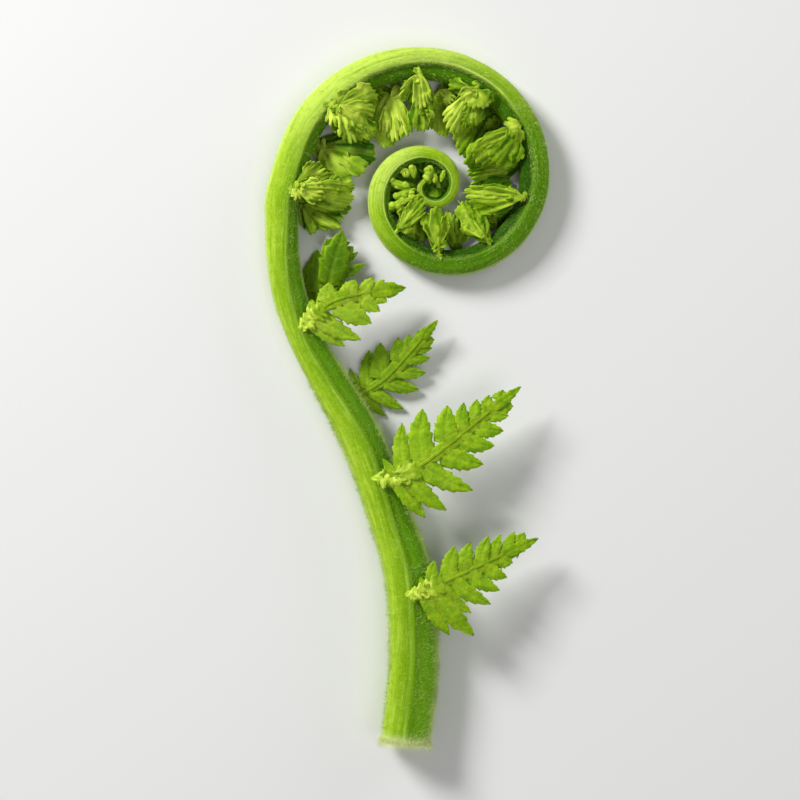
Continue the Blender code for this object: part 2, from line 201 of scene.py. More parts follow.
class surfaceFinish:  # one material and its nodes
    def __init__(self, name):
        self.material = bpy.data.materials.new(name)
        self.material.use_nodes = True
        self.tree = self.material.node_tree
        self.shader = self.tree.nodes["Principled BSDF"]

    def add(self, kind, settings, inputs, output=0):
        node = self.tree.nodes.new(kind)
        for name, value in settings.items():
            setattr(node, name, value)
        for name, value in inputs.items():
            self.put(node.inputs[name], value)
        return shaderValue(self, node.outputs[output])

    def put(self, socket, value):
        if isinstance(value, shaderValue):
            self.tree.links.new(value.socket, socket)
        elif isinstance(value, tuple) and len(socket.default_value) > len(value):
            socket.default_value = (*value, 1.0)
        else:
            socket.default_value = value

    def attribute(self, name):
        return self.add("ShaderNodeAttribute", {"attribute_name": name}, {}, "Vector")

    def parts(self, vector):
        return [self.add("ShaderNodeSeparateXYZ", {}, {0: vector}, k) for k in range(3)]

    def place(self):
        return self.add("ShaderNodeTexCoord", {}, {}, "Object")

    def stretched(self, source, scale):
        return self.add("ShaderNodeMapping", {}, {"Vector": source, "Scale": scale})

    def noise(self, source, scale, detail=3.0, roughness=0.55):
        inputs = {"Vector": source, "Scale": scale, "Detail": detail, "Roughness": roughness}
        return self.add("ShaderNodeTexNoise", {"noise_dimensions": "3D"}, inputs)

    def mix(self, factor, low, high, blend="MIX"):
        settings = {"data_type": "RGBA", "blend_type": blend}
        return self.add("ShaderNodeMix", settings, {0: factor, 6: low, 7: high}, 2)

    def layers(self, skin, colours, rows):  # each a mask, where it comes in and is full, share and colour
        for mask, low, high, share, colour in rows:
            skin = self.mix(mask.step(low, high) * share, skin, colours[colour])
        return skin

    def bump(self, height, strength, distance):
        inputs = {"Height": height, "Strength": strength, "Distance": distance}
        return self.add("ShaderNodeBump", {}, inputs)

    def plantShine(self, softness, radius, depth):  # light goes a little way in, and the gloss is greenish
        self.shine({
            "Subsurface Weight": softness,
            "Subsurface Radius": radius,
            "Subsurface Scale": depth,
            "Specular IOR Level": 0.2,
            "Specular Tint": (0.7, 1.0, 0.25),
        })

    def shine(self, values):
        for name, value in values.items():
            self.put(self.shader.inputs[name], value)


# meshes made of grids
gridStore = {}
seamGap = 1e-7  # in metres


def asMesh(bm, name):  # the finished bmesh as a mesh, and the places of its points
    mesh = bpy.data.meshes.new(name)
    bm.to_mesh(mesh)
    bm.free()
    places = np.zeros(len(mesh.vertices) * 3)
    mesh.vertices.foreach_get("co", places)
    return mesh, places.reshape(-1, 3)


def gridOf(cellsU, cellsV):  # a flat grid from 0 to 1, and the places of its points
    if (cellsU, cellsV) not in gridStore:
        bm = bmesh.new()
        bm.loops.layers.uv.new("UVMap")
        bmesh.ops.create_grid(bm, x_segments=cellsU, y_segments=cellsV, size=0.5, calc_uvs=True)
        bmesh.ops.translate(bm, verts=bm.verts, vec=(0.5, 0.5, 0))
        mesh, places = asMesh(bm, "grid")
        gridStore[cellsU, cellsV] = (mesh, places[:, 0].copy(), places[:, 1].copy())
    return gridStore[cellsU, cellsV]


def rowsOf(u, *columns):  # a row of numbers for each of u's points
    return np.column_stack([column + 0 * u for column in columns])


def placePoints(mesh, points, **layers):  # points in millimetres, and the vectors that the materials read
    mesh.vertices.foreach_set("co", (points * metre).ravel())
    for layer, rows in layers.items():
        attribute = mesh.attributes.new(layer, "FLOAT_VECTOR", "POINT")
        attribute.data.foreach_set("vector", rows.astype(np.float32).ravel())


def closeSeams(mesh, capInset=None):  # doubled points merge, and open ends get a rounded cap
    bm = bmesh.new()
    bm.from_mesh(mesh)
    bmesh.ops.remove_doubles(bm, verts=bm.verts, dist=seamGap)
    if capInset:
        inset = capInset * metre
        rims = [edge for edge in bm.edges if edge.is_boundary]
        for face in bmesh.ops.holes_fill(bm, edges=rims, sides=0)["faces"]:
            for _ in range(3):
                bmesh.ops.inset_individual(bm, faces=[face], thickness=inset, depth=inset / 2)
    bmesh.ops.recalc_face_normals(bm, faces=bm.faces)
    bm.to_mesh(mesh)
    bm.free()


def intoScene(name, data):
    thing = bpy.data.objects.new(name, data)
    bpy.context.scene.collection.objects.link(thing)
    return thing


def asPiece(name, mesh, material, thickness=None):
    mesh.update()
    mesh.shade_smooth()
    mesh.materials.append(material)
    piece = intoScene(name, mesh)
    if thickness:
        sheet = piece.modifiers.new("thickness", "SOLIDIFY")
        sheet.thickness = thickness * metre
        sheet.offset = -1
    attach(piece, "root")
    return piece


heightValues = {
    "lowest": 0.3,  # nothing sinks into what the frond lies on
    "levelOff": 8.85,  # above this, heights are pressed together to stay within the solid's
    "pressedRoom": 0.4,
}


class meshPile:  # shapes whose points a formula has placed, which become one piece
    def __init__(self):
        self.bm = bmesh.new()
        self.points = []
        self.leaf = []
        self.tone = []

    def lay(self, mesh, points, leaf, tone):
        self.bm.from_mesh(mesh)
        self.points.append(points)
        self.leaf.append(leaf)
        self.tone.append(tone)

    def finish(self, name, material, thickness=None, weld=False):
        mesh, _ = asMesh(self.bm, name)
        points = np.concatenate(self.points)
        room = heightValues["pressedRoom"]
        over = np.maximum(points[:, 2] - heightValues["levelOff"], 0)
        points[:, 2] = points[:, 2] - over + room * np.tanh(over / room)
        points[:, 2] = np.maximum(points[:, 2], heightValues["lowest"])
        placePoints(mesh, points, leaf=np.concatenate(self.leaf), tone=np.concatenate(self.tone))
        if weld:
            closeSeams(mesh)
        asPiece(name, mesh, material, thickness)
        print(name, "made with", len(mesh.polygons), "faces")


# stalk and coil
rachisValues = {
    "section": (  # across and deep, in half widths, from the back over the upper shoulder to the groove
        (-1.0, 0.0), (-0.95, 0.32), (-0.8, 0.6), (-0.52, 0.81), (-0.15, 0.9), (0.08, 0.91), (0.2, 0.87),
        (0.28, 0.76), (0.38, 0.63), (0.58, 0.56), (0.78, 0.47), (0.93, 0.27), (1.0, 0.0),
    ),
    "cellsAlong": 640,
    "cellsAround": 130,
    "ridges": 26,  # striae once round
    "ridgeHeight": 0.022,  # in half widths, as the swell
    "swell": 0.02,
    "bumpDepth": 0.0003,  # in metres
    "capInset": 0.1,  # how far each step of the rounded ends goes in
    "footWays": (8.0, 45.0),  # the groove darkens from the stalk's foot up, towards a green that is partly painted shade
    "coilWays": (118.0, 150.0),  # the stalk becomes the coil
    "stalkWays": (70.0, 130.0),  # the stalk's long hairs end
    "cutWays": (0.3, 2.2),  # paler at the cut
    "backLit": (0.37, 0.56, 0.02),
    "midGreen": (0.21, 0.4, 0.003),
    "striaPale": (0.5, 0.7, 0.07),
    "ridgePale": (0.68, 0.82, 0.2),
    # the groove's green, darker than the skin: partly its own colour, partly painted shade in the recess
    "grooveGreenAndShade": (0.08, 0.24, 0.002),
    # painted shade: the dark of the groove deep in the coil and under the shoulder
    "paintedShadeGreen": (0.02, 0.09, 0.001),
    "footGroove": (0.15, 0.4, 0.002),
    # painted light: a paler band along the turns on the coil's upper left
    "paintedLightBand": (0.68, 0.84, 0.16),
    "paintedLightTurns": (  # where the band of painted light comes in, is full, and goes out
        (176.0, 140.0, 88.0, 62.0), (-150.0, -185.0, -225.0, -262.0),
    ),
    "shadeTint": (0.33, 0.53, 0.12),
    "shadeTurns": (62.0, 16.0, -95.0, -160.0),
    "rimOlive": (0.15, 0.26, 0.01),
    "cutPale": (0.66, 0.72, 0.3),
    # pale fuzz along the edges: the hairs' own pale colour and painted rim light
    "fuzzAndRimLight": (0.62, 0.76, 0.2),
    "shoulderWays": (0.0, 25.0, 38.0, 48.0, 56.0, 66.0, 74.0, 84.0, 95.0),  # up the stalk
    "shoulderTurns": (180.0, 150.0, 125.0, 102.0, 80.0, 55.0, 10.0, -60.0, -130.0, -180.0),  # then round
    "shoulderShifts": (  # inward, in half widths
        -0.22, -0.22, -0.15, 0.0, 0.05, -0.15, -0.25, -0.1, 0.15,
        0.3, 0.3, 0.15, -0.12, -0.26, -0.22, -0.08, 0.05, 0.2, 0.35,
    ),
    "softFoot": 0.85,  # how much rounder the shoulder is low on the stalk
    "softWays": (95.0, 135.0),
}


def sectionTable(knots):
    upper = smoothCurve(knots, 8)
    lower = upper[::-1][1:] * (1, -1)
    ring = np.vstack([upper, lower])
    start = int(np.argmin(np.abs(ring[:, 0] + 0.1) + (ring[:, 1] > 0)))  # the seam is underneath
    ring = np.vstack([ring[start:-1], ring[:start + 1]])
    way = np.concatenate([[0.0], np.cumsum(np.linalg.norm(np.diff(ring, axis=0), axis=1))])
    return ring, way / way[-1]


sectionRing, sectionWay = sectionTable(rachisValues["section"])


def rachisPoints(arc, around):  # arc in millimetres, around from 0 to 1
    values = rachisValues
    section = np.interp(around, sectionWay, sectionRing[:, 0])
    deep = np.interp(around, sectionWay, sectionRing[:, 1])
    soft = values["softFoot"] * (1 - smoothStep(*values["softWays"], arc)) * (section > 0) * (deep > 0)
    deep = deep + soft * (0.9 * np.sqrt(np.clip(1 - section ** 2, 0, 1)) - deep)
    ways = [*values["shoulderWays"], *(growth.arcAt(turn) for turn in values["shoulderTurns"])]
    across = section + np.interp(arc, ways, values["shoulderShifts"]) * (1 - section ** 2)
    share = arc / growth.length
    ridges = waveNoise(3, share, around, 12, values["ridges"])
    ridges = ridges + 0.5 * waveNoise(4, share, around, 34, values["ridges"] * 2)
    swell = waveNoise(5, share, around, 46, 5)
    grow = 1 + values["ridgeHeight"] * (ridges - 1) + values["swell"] * 0.5 * (swell - 1)
    reach = growth.half(arc) * grow
    centre, _, inward = growth.frame(arc)
    points = centre + inward * (across * reach)[:, None] + upright * (deep * reach)[:, None]
    outward = unit(inward * across[:, None] + upright * deep[:, None])
    return points, section, outward


def makeRachis(material):
    grid, u, v = gridOf(rachisValues["cellsAlong"], rachisValues["cellsAround"])
    mesh = grid.copy()
    mesh.name = "rachis"
    arc = growth.length * u
    points, section, _ = rachisPoints(arc, v)
    placePoints(mesh, points, skin=rowsOf(u, arc, v, section))
    closeSeams(mesh, rachisValues["capInset"])
    piece = asPiece("rachis", mesh, material)
    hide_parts("frond")
    print("stalk and coil made")


def rachisFinish():
    finish = surfaceFinish("stalkSkin")
    values = rachisValues
    spot = finish.attribute("skin")
    arc, _, across = finish.parts(spot)
    place = finish.place()
    lines = finish.noise(finish.stretched(spot, (0.12, 34.0, 0.0)), 1.0, 4.0, 0.66)
    fineLines = finish.noise(finish.stretched(spot, (0.5, 170.0, 0.0)), 1.0, 2.0, 0.5)
    patches = finish.noise(place, 240.0, 3.0, 0.6)
    dots = finish.noise(place, 3000.0, 2.0, 0.6)
    speckle = finish.noise(place, 1100.0, 3.0, 0.7)
    # painted light: paler towards the outer edge, as a lit side
    skin = finish.mix((across + 0.9 + patches * 0.5).step(0.2, 1.15), values["backLit"], values["midGreen"])

    def along(turns):  # 1 between the inner two of four turns
        comeIn, full, last, gone = (growth.arcAt(turn) for turn in turns)
        return arc.step(comeIn, full) - arc.step(last, gone)

    # painted light on the coil's upper left turns
    light = along(values["paintedLightTurns"][0]) + along(values["paintedLightTurns"][1])
    skin = finish.mix(light * (1 - across.step(-0.2, 0.3) * 0.3) * 0.55, skin, values["paintedLightBand"])
    skin = finish.layers(skin, values, (
        (lines, 0.5, 0.64, 0.5, "striaPale"),
        (1 - lines, 0.5, 0.64, 0.6, "midGreen"),
        (speckle, 0.52, 0.7, 0.35, "striaPale"),
        (1 - speckle, 0.5, 0.68, 0.45, "midGreen"),
        (1 - lines, 0.6, 0.72, 0.4, "grooveGreenAndShade"),
        (dots, 0.55, 0.72, 0.4, "striaPale"),
    ))
    inCoil = arc.step(*values["coilWays"])
    soft = (across + (patches - 0.5) * 0.3).step(-0.3, 0.75)
    sharp = (across + (patches - 0.5) * 0.2).step(0.1, 0.46)
    groove = soft + (sharp - soft) * arc.step(*values["softWays"])
    grooveSkin = finish.mix(arc.step(*values["footWays"]), values["footGroove"], values["grooveGreenAndShade"])
    shade = along(values["shadeTurns"])
    # painted shade deepens the groove in the coil and on the shaded turns
    grooveSkin = finish.mix(inCoil * 0.35 + shade * 0.4, grooveSkin, values["paintedShadeGreen"])
    grooveSkin = finish.layers(grooveSkin, values, (
        (fineLines, 0.5, 0.66, 0.4, "midGreen"),
        (across, 0.8, 1.0, 0.5, "rimOlive"),
    ))
    skin = finish.mix(groove, skin, grooveSkin)
    # a painted shadow line under the shoulder
    shadowUnderShoulder = 1 - (across - 0.36).absolute().step(0.03, 0.16)
    skin = finish.mix(shadowUnderShoulder * (0.3 + shade * 0.2), skin, values["paintedShadeGreen"])
    ridge = 1 - (across - 0.1).absolute().step(0.02, 0.1)
    ridgeShare = ridge * lines.step(0.3, 0.56) * (0.15 + inCoil * 0.55) * (1 - shade * 0.5)
    skin = finish.mix(ridgeShare, skin, values["ridgePale"])
    skin = finish.mix(shade, skin, values["shadeTint"], "MULTIPLY")
    onStalk = 1 - arc.step(*values["stalkWays"])
    # pale fuzz at the edges: the hairs' own pale colour and painted rim light
    outerFuzzAndRimLight = (0 - across).step(0.87, 0.97) * 0.6
    stalkFuzzAndRimLight = across.absolute().step(0.84, 1.0) * onStalk * (0.35 + dots * 0.4)
    skin = finish.mix(outerFuzzAndRimLight * (1 - onStalk) + stalkFuzzAndRimLight, skin, values["fuzzAndRimLight"])
    skin = finish.mix((1 - arc.step(*values["cutWays"])) * 0.7, skin, values["cutPale"])
    height = lines * 0.6 + fineLines * 0.5 + dots * 0.45
    finish.shine({
        "Base Color": skin,
        "Roughness": 0.38 + lines * 0.2,
        "Normal": finish.bump(height, 0.6, values["bumpDepth"]),
    })
    finish.plantShine(0.1, (0.6, 1.0, 0.15), 0.0015)
    return finish.material


# leaf shapes
leafValues = {
    "thickness": 0.2,
    "bumpDepth": 0.00035,  # in metres
    "green": (0.125, 0.28, 0.001),
    "lime": (0.27, 0.45, 0.003),
    "deep": (0.02, 0.11, 0.001),
    "pale": (0.7, 0.92, 0.1),
    "margin": (0.46, 0.66, 0.04),
}


def sheetFrame(base, tip):  # how long a blade is, and its ahead, left and up
    length = np.linalg.norm(tip - base)
    ahead = (tip - base) / length
    up = unit(upright - ahead * ahead[2])
    return length, ahead, np.cross(up, ahead), up


def markOf(seed):  # gives each blade its own tint
    return seed * 0.618 % 1.0


def leaflet(pile, base, tip, width, teeth, toothSize, pale, deep, seed, fold=0.0, arch=0.05, sickle=0.0,
            crumple=0.0, quilt=0.045, hem=0.08, foot=1.15, rows=5):  # a pointed blade
    grid, u, v = gridOf(teeth * rows, 10)
    across = v * 0.9
    v = 2 * v - 1
    length, ahead, left, up = sheetFrame(base, tip)
    side = np.abs(v)
    phase = u * teeth + 0.35
    tooth = 1 + toothSize * ((phase % 1.0) ** 1.3 - 0.55) * smoothStep(0.2, 0.4, u) * side ** 2
    shape = (foot + (1 - foot) * smoothStep(0, 0.35, u)) * np.clip(1 - u ** 3.0, 0, 1) ** 0.86
    half = np.maximum(width / 2 * shape * tooth, 0.015 * width)
    lean = 0.3 * side * half * (1 - u)  # teeth and side veins point ahead
    vein = u * teeth - 0.45 * side
    puff = np.sin(np.pi * (vein % 1.0)) * side * (1 - side ** 3)
    noiseA = waveNoise(seed, u * 0.9 + 0.05, across, 4, 5)
    noiseB = waveNoise(seed + 1, u * 0.9 + 0.05, across, 9, 8)
    lift = half * (math.tan(fold) * side + quilt * puff - hem * side ** 4)
    lift = lift + length * arch * np.sin(np.pi * u)
    lift = lift - 0.05 * width * np.exp(-(v / 0.12) ** 2)
    lift = lift + crumple * width * (0.55 * noiseA + 0.3 * noiseB) * smoothStep(0, 0.2, u)
    aside = v * half * math.cos(fold) + sickle * length * np.sin(np.pi * u)
    points = base + ahead * (length * u + lean)[:, None] + left * aside[:, None] + up * lift[:, None]
    edge = side * smoothStep(0.25, 0.5, u)
    midrib = np.clip(1 - side * 5, 0, 1) * (1 - u)
    dark = deep * (0.7 + 1.1 * (1 - side ** 2) * np.sin(np.pi * np.clip(u, 0, 1)))
    tone = rowsOf(u, pale * (1 - 0.6 * u), np.clip(dark, 0, 1), vein)
    pile.lay(grid, points, rowsOf(u, edge, midrib, markOf(seed)), tone)


def fan(pile, base, tip, spread, cut=0.0, creases=2, creaseDepth=0.22, toothWidth=0.85, toothDepth=0.3,
        lobeDepth=0.12, roundness=0.4, cup=0.0, curl=0.25, foot=0.3, crumple=0.25, roll=0.0, lean=0.0,
        pale=0.0, deep=0.0, seed=0, rows=12):  # a toothed blade that widens from its foot, with creases
    draw = np.random.default_rng(seed)
    length, ahead, left, up = sheetFrame(base, tip)
    lowSide = lean * (left[0] - left[1]) * 0.7  # the side nearer the picture's lower right droops, and gets painted shade
    roll -= lowSide
    left, up = left * math.cos(roll) + up * math.sin(roll), up * math.cos(roll) - left * math.sin(roll)
    turn = math.radians(spread) / 2
    teeth = int(np.clip(round(1.8 * length * turn / toothWidth), 3, 13))
    grid, u, v = gridOf(rows, teeth * 4)
    phase = v * teeth
    across = v * 0.9
    v = 2 * v - 1
    peak = np.abs(np.sin(np.pi * phase)) ** 0.8  # 1 at each tooth, 0 in each notch
    streak = waveNoise(seed + 4, u * 0.3, across, 4, 3 + teeth // 2) * smoothStep(0, 0.3, u)
    streak = streak + 0.5 * waveNoise(seed + 5, u * 0.9, across, 5, 6)
    shorter = draw.uniform(0, 0.45, teeth + 1)[np.clip(phase.astype(int), 0, teeth - 1)]
    notch = toothDepth * (1 - peak) + cut * min(length, 5.0) * (1 - peak) ** 1.6
    rim = (1 - roundness * v ** 2) * (1 - (shorter + notch) / length)
    rim = rim * (1 - lobeDepth * (0.5 + 0.5 * waveNoise(seed + 2, across, v * 0, 4, 2)))
    radius = length * u * (1 + (rim - 1) * smoothStep(0.2, 1, u))
    angle = v * turn * (1 + 0.2 * waveNoise(seed + 3, u * 0.9, v * 0, 4, 2))
    footHalf = foot * length * np.sqrt(u) * (1 - u)
    half = math.sin(min(turn, 1.5)) * length * u * 0.9 + footHalf
    noiseA = waveNoise(seed, length * u / 14 + 0.1, v * half / 14 + 0.5, 8, 8)
    noiseB = waveNoise(seed + 1, length * u / 6 + 0.1, v * half / 6 + 0.5, 8, 8)
    lift = length * (curl * u * (1 - u) - 0.2 * curl * u ** 3 + cup * v ** 2 * u)
    lift = lift + crumple * smoothStep(0, 0.3, u) * (noiseA + 0.35 * noiseB)
    lift = lift + 0.1 * cut * length * peak * smoothStep(0.25, 0.6, u) + 0.05 * streak
    valley = ridge = u * 0
    for k in range(creases):
        line = -1 + 2 * (k + draw.uniform(0.3, 0.7)) / creases + 0.15 * (u - 0.5) * draw.uniform(-1, 1)
        away = np.abs(v - line) * half / draw.uniform(0.3, 0.42)
        valley = np.maximum(valley, np.exp(-away ** 2))
        ridge = np.maximum(ridge, np.exp(-((away - 1.7) / 0.7) ** 2))
    grow = smoothStep(0.05, 0.35, u) * (1 - 0.5 * u)
    lift = lift + creaseDepth * (0.5 * ridge - valley) * grow
    onward, aside = np.cos(angle) * radius, np.sin(angle) * radius + v * footHalf
    points = base + ahead * onward[:, None] + left * aside[:, None] + up * lift[:, None]
    edge = np.maximum(u ** 5, np.abs(v) ** 12 * smoothStep(0.3, 0.6, u))
    # painted shade: darker in the crease valleys, in the notches between teeth and on the drooping side,
    # which is also less pale
    hangShade = np.clip(v * lowSide / 0.3, 0, 1) * smoothStep(0.1, 0.5, u)
    dark = deep * (1 - 0.6 * streak) + 0.45 * valley * grow - 0.2 * streak + 0.3 * hangShade
    dark = np.clip(dark + cut * (1 - peak) ** 3 * u, 0, 1)
    light = pale * (1 - 0.45 * u) * (1 + 0.8 * streak) * (1 - 0.7 * hangShade) + 0.12 * streak - 0.04
    # painted highlight along the crease ridges, in the midrib channel
    leaf = rowsOf(u, edge, ridge * (1 - 0.7 * u) * 0.5, markOf(seed))
    pile.lay(grid, points, leaf, rowsOf(u, np.clip(light, 0, 1), dark, phase / 2 + 0.5))


class ribLine:  # a pinna's midrib from its root over an elbow to its tip, read by its share of the length
    def __init__(self, points):
        self.line = smoothCurve(points, 24)
        steps = np.linalg.norm(np.diff(self.line, axis=0), axis=1)
        way = np.concatenate([[0.0], np.cumsum(steps)])
        self.length = way[-1]
        self.shares = way / way[-1]

    def at(self, share):
        return np.stack([np.interp(share, self.shares, self.line[:, k]) for k in range(3)], -1)

    def ahead(self, share):
        return unit(self.at(np.clip(share + 0.03, 0, 1)) - self.at(np.clip(share - 0.03, 0, 1)))


def ribTube(pile, rib, radius, tipRadius, drop, pale=0.4, cells=28):  # a pinna's stem
    grid, u, v = gridOf(cells, 8)
    ahead = rib.ahead(u)
    up = unit(upright - ahead * ahead[:, 2:3])
    left = np.cross(up, ahead)
    turn = 2 * np.pi * v
    reach = (radius + (tipRadius - radius) * u ** 0.8) * np.minimum(1, np.minimum(u, 1 - u) * cells)
    points = rib.at(u) - upright * (drop * smoothStep(0, 0.2, u))[:, None]
    points = points + left * (np.cos(turn) * reach)[:, None] + up * (np.sin(turn) * reach * 0.8)[:, None]
    pile.lay(grid, points, rowsOf(u, 0, 0, 0.5), rowsOf(u, pale * (1 - u), 0, 0))


def ribStrip(rib, cellsAlong, cellsAcross, start, end):  # a grid along a rib, with v from -1 to 1 across
    grid, u, v = gridOf(cellsAlong, cellsAcross)
    share = start + (end - start) * u
    ahead = rib.ahead(share)
    return grid, u, 2 * v - 1, rib.at(share), ahead, unit(np.cross(upright, ahead))


def ribWing(pile, rib, widths, start, deep, pale=0.05):  # the blade along a rib, under its leaflets
    grid, u, v, middle, _, left = ribStrip(rib, 44, 6, start, 1)
    reach = np.interp(u, (0, 0.12, 0.45, 0.8, 1), widths)
    reach = reach * (1 + 0.08 * waveNoise(11, u * 0.9, v * 0, 14, 2))
    points = middle + left * (v * reach)[:, None]
    points[:, 2] -= 0.12 + 0.12 * v ** 2
    pile.lay(grid, points, rowsOf(u, 0, 0, 0.5), rowsOf(u, pale, deep, 0))


def footBlade(pile, rib, seed, high, reach, pale):  # the pale crumpled blade at the foot of an open pinna
    grid, u, v, middle, ahead, left = ribStrip(rib, 56, 14, 0, high)
    side = np.abs(v)
    half = reach * np.interp(u, (0, 0.12, 0.35, 0.7, 0.9, 1), (0.25, 0.5, 0.75, 1.0, 0.85, 0.5))
    scallop = u * 5.5 + (v > 0) * 0.45 + 0.2 * waveNoise(seed, u * 0.9, v * 0, 5, 2)
    scallop = np.abs(np.sin(np.pi * scallop))
    teeth = (u * 17 + (v > 0) * 0.4) % 1.0
    half = half * (1 - side ** 2 * (0.42 * (1 - scallop) ** 1.5 + 0.1 * teeth))
    noiseA = waveNoise(seed + 1, u * 0.95, (v + 1) * 0.45, 7, 4)
    noiseB = waveNoise(seed + 2, u * 0.95, (v + 1) * 0.45, 16, 7)
    lift = 0.2 + 0.3 * scallop * side ** 2 - 0.75 * side ** 2.4 * reach * 0.3 + 0.16 * noiseA + 0.1 * noiseB
    lift = lift - 0.55 * smoothStep(0.8, 1.0, u)
    points = middle + left * (v * half)[:, None] + ahead * (0.35 * side * half)[:, None]
    points = points + upright * lift[:, None]
    spots = smoothStep(-0.2, 0.6, noiseB - 0.4 * side)
    light = pale * (0.3 + 0.6 * spots) * (1 - 0.85 * smoothStep(0.45, 0.9, u + 0.15 * noiseA))
    pile.lay(grid, points, rowsOf(u, side ** 2, 0, 0.4), rowsOf(u, light, 0, u * 16))


def ribGroove(pile, rib, widths, start, deep, pale=0.1):  # the two ridges and the groove along a rib
    grid, u, v, middle, _, left = ribStrip(rib, 48, 12, start, 1)
    reach = widths[0] + (widths[1] - widths[0]) * u
    points = middle + left * (v * reach)[:, None]
    side = np.abs(v)
    points[:, 2] += 0.05 * np.exp(-((side - 0.45) / 0.2) ** 2) - 0.16 * side ** 4
    ridge = np.exp(-((side - 0.5) / 0.2) ** 2) * (0.25 - 0.2 * u)
    groove = np.exp(-(side / 0.22) ** 2) * (1 - u ** 3)
    tone = rowsOf(u, pale * (1 - u), np.clip(deep + groove * 0.6, 0, 1), 0)
    pile.lay(grid, points, rowsOf(u, 0, ridge, 0.5), tone)


def ruffle(pile, rib, count, seed, low, high, reach, pale):  # the crumpled pale lobes at a pinna's foot
    draw = np.random.default_rng(seed)
    for k in range(count):
        share = low + (high - low) * (k + draw.uniform(0, 0.7)) / count
        ahead = rib.ahead(share)
        left = unit(np.cross(upright, ahead))
        turn = (1 if k % 2 else -1) * draw.uniform(0.35, 1.6)
        out = unit(ahead * math.cos(turn) + left * math.sin(turn)) + upright * draw.uniform(-0.15, 0.1)
        base = rib.at(share) + upright * draw.uniform(0.05, 0.4)
        fan(pile, base, base + out * reach * draw.uniform(0.7, 1.15), draw.uniform(55, 95), creases=1,
            creaseDepth=0.14, toothWidth=0.5, cup=draw.uniform(-0.15, 0.1), curl=draw.uniform(0.2, 0.4),
            foot=0.4, crumple=0.15, roll=draw.uniform(-0.3, 0.3), pale=pale * draw.uniform(0.3, 1.0),
            seed=seed * 37 + k, rows=8)


def shoulderRoot(arc, side, depth=0.25, across=0.2):  # where a pinna grows, under the skin
    centre, _, inward = growth.frame(arc)
    half = growth.half(arc)
    return centre + inward * (across * half) + upright * side * (0.88 * half - depth)


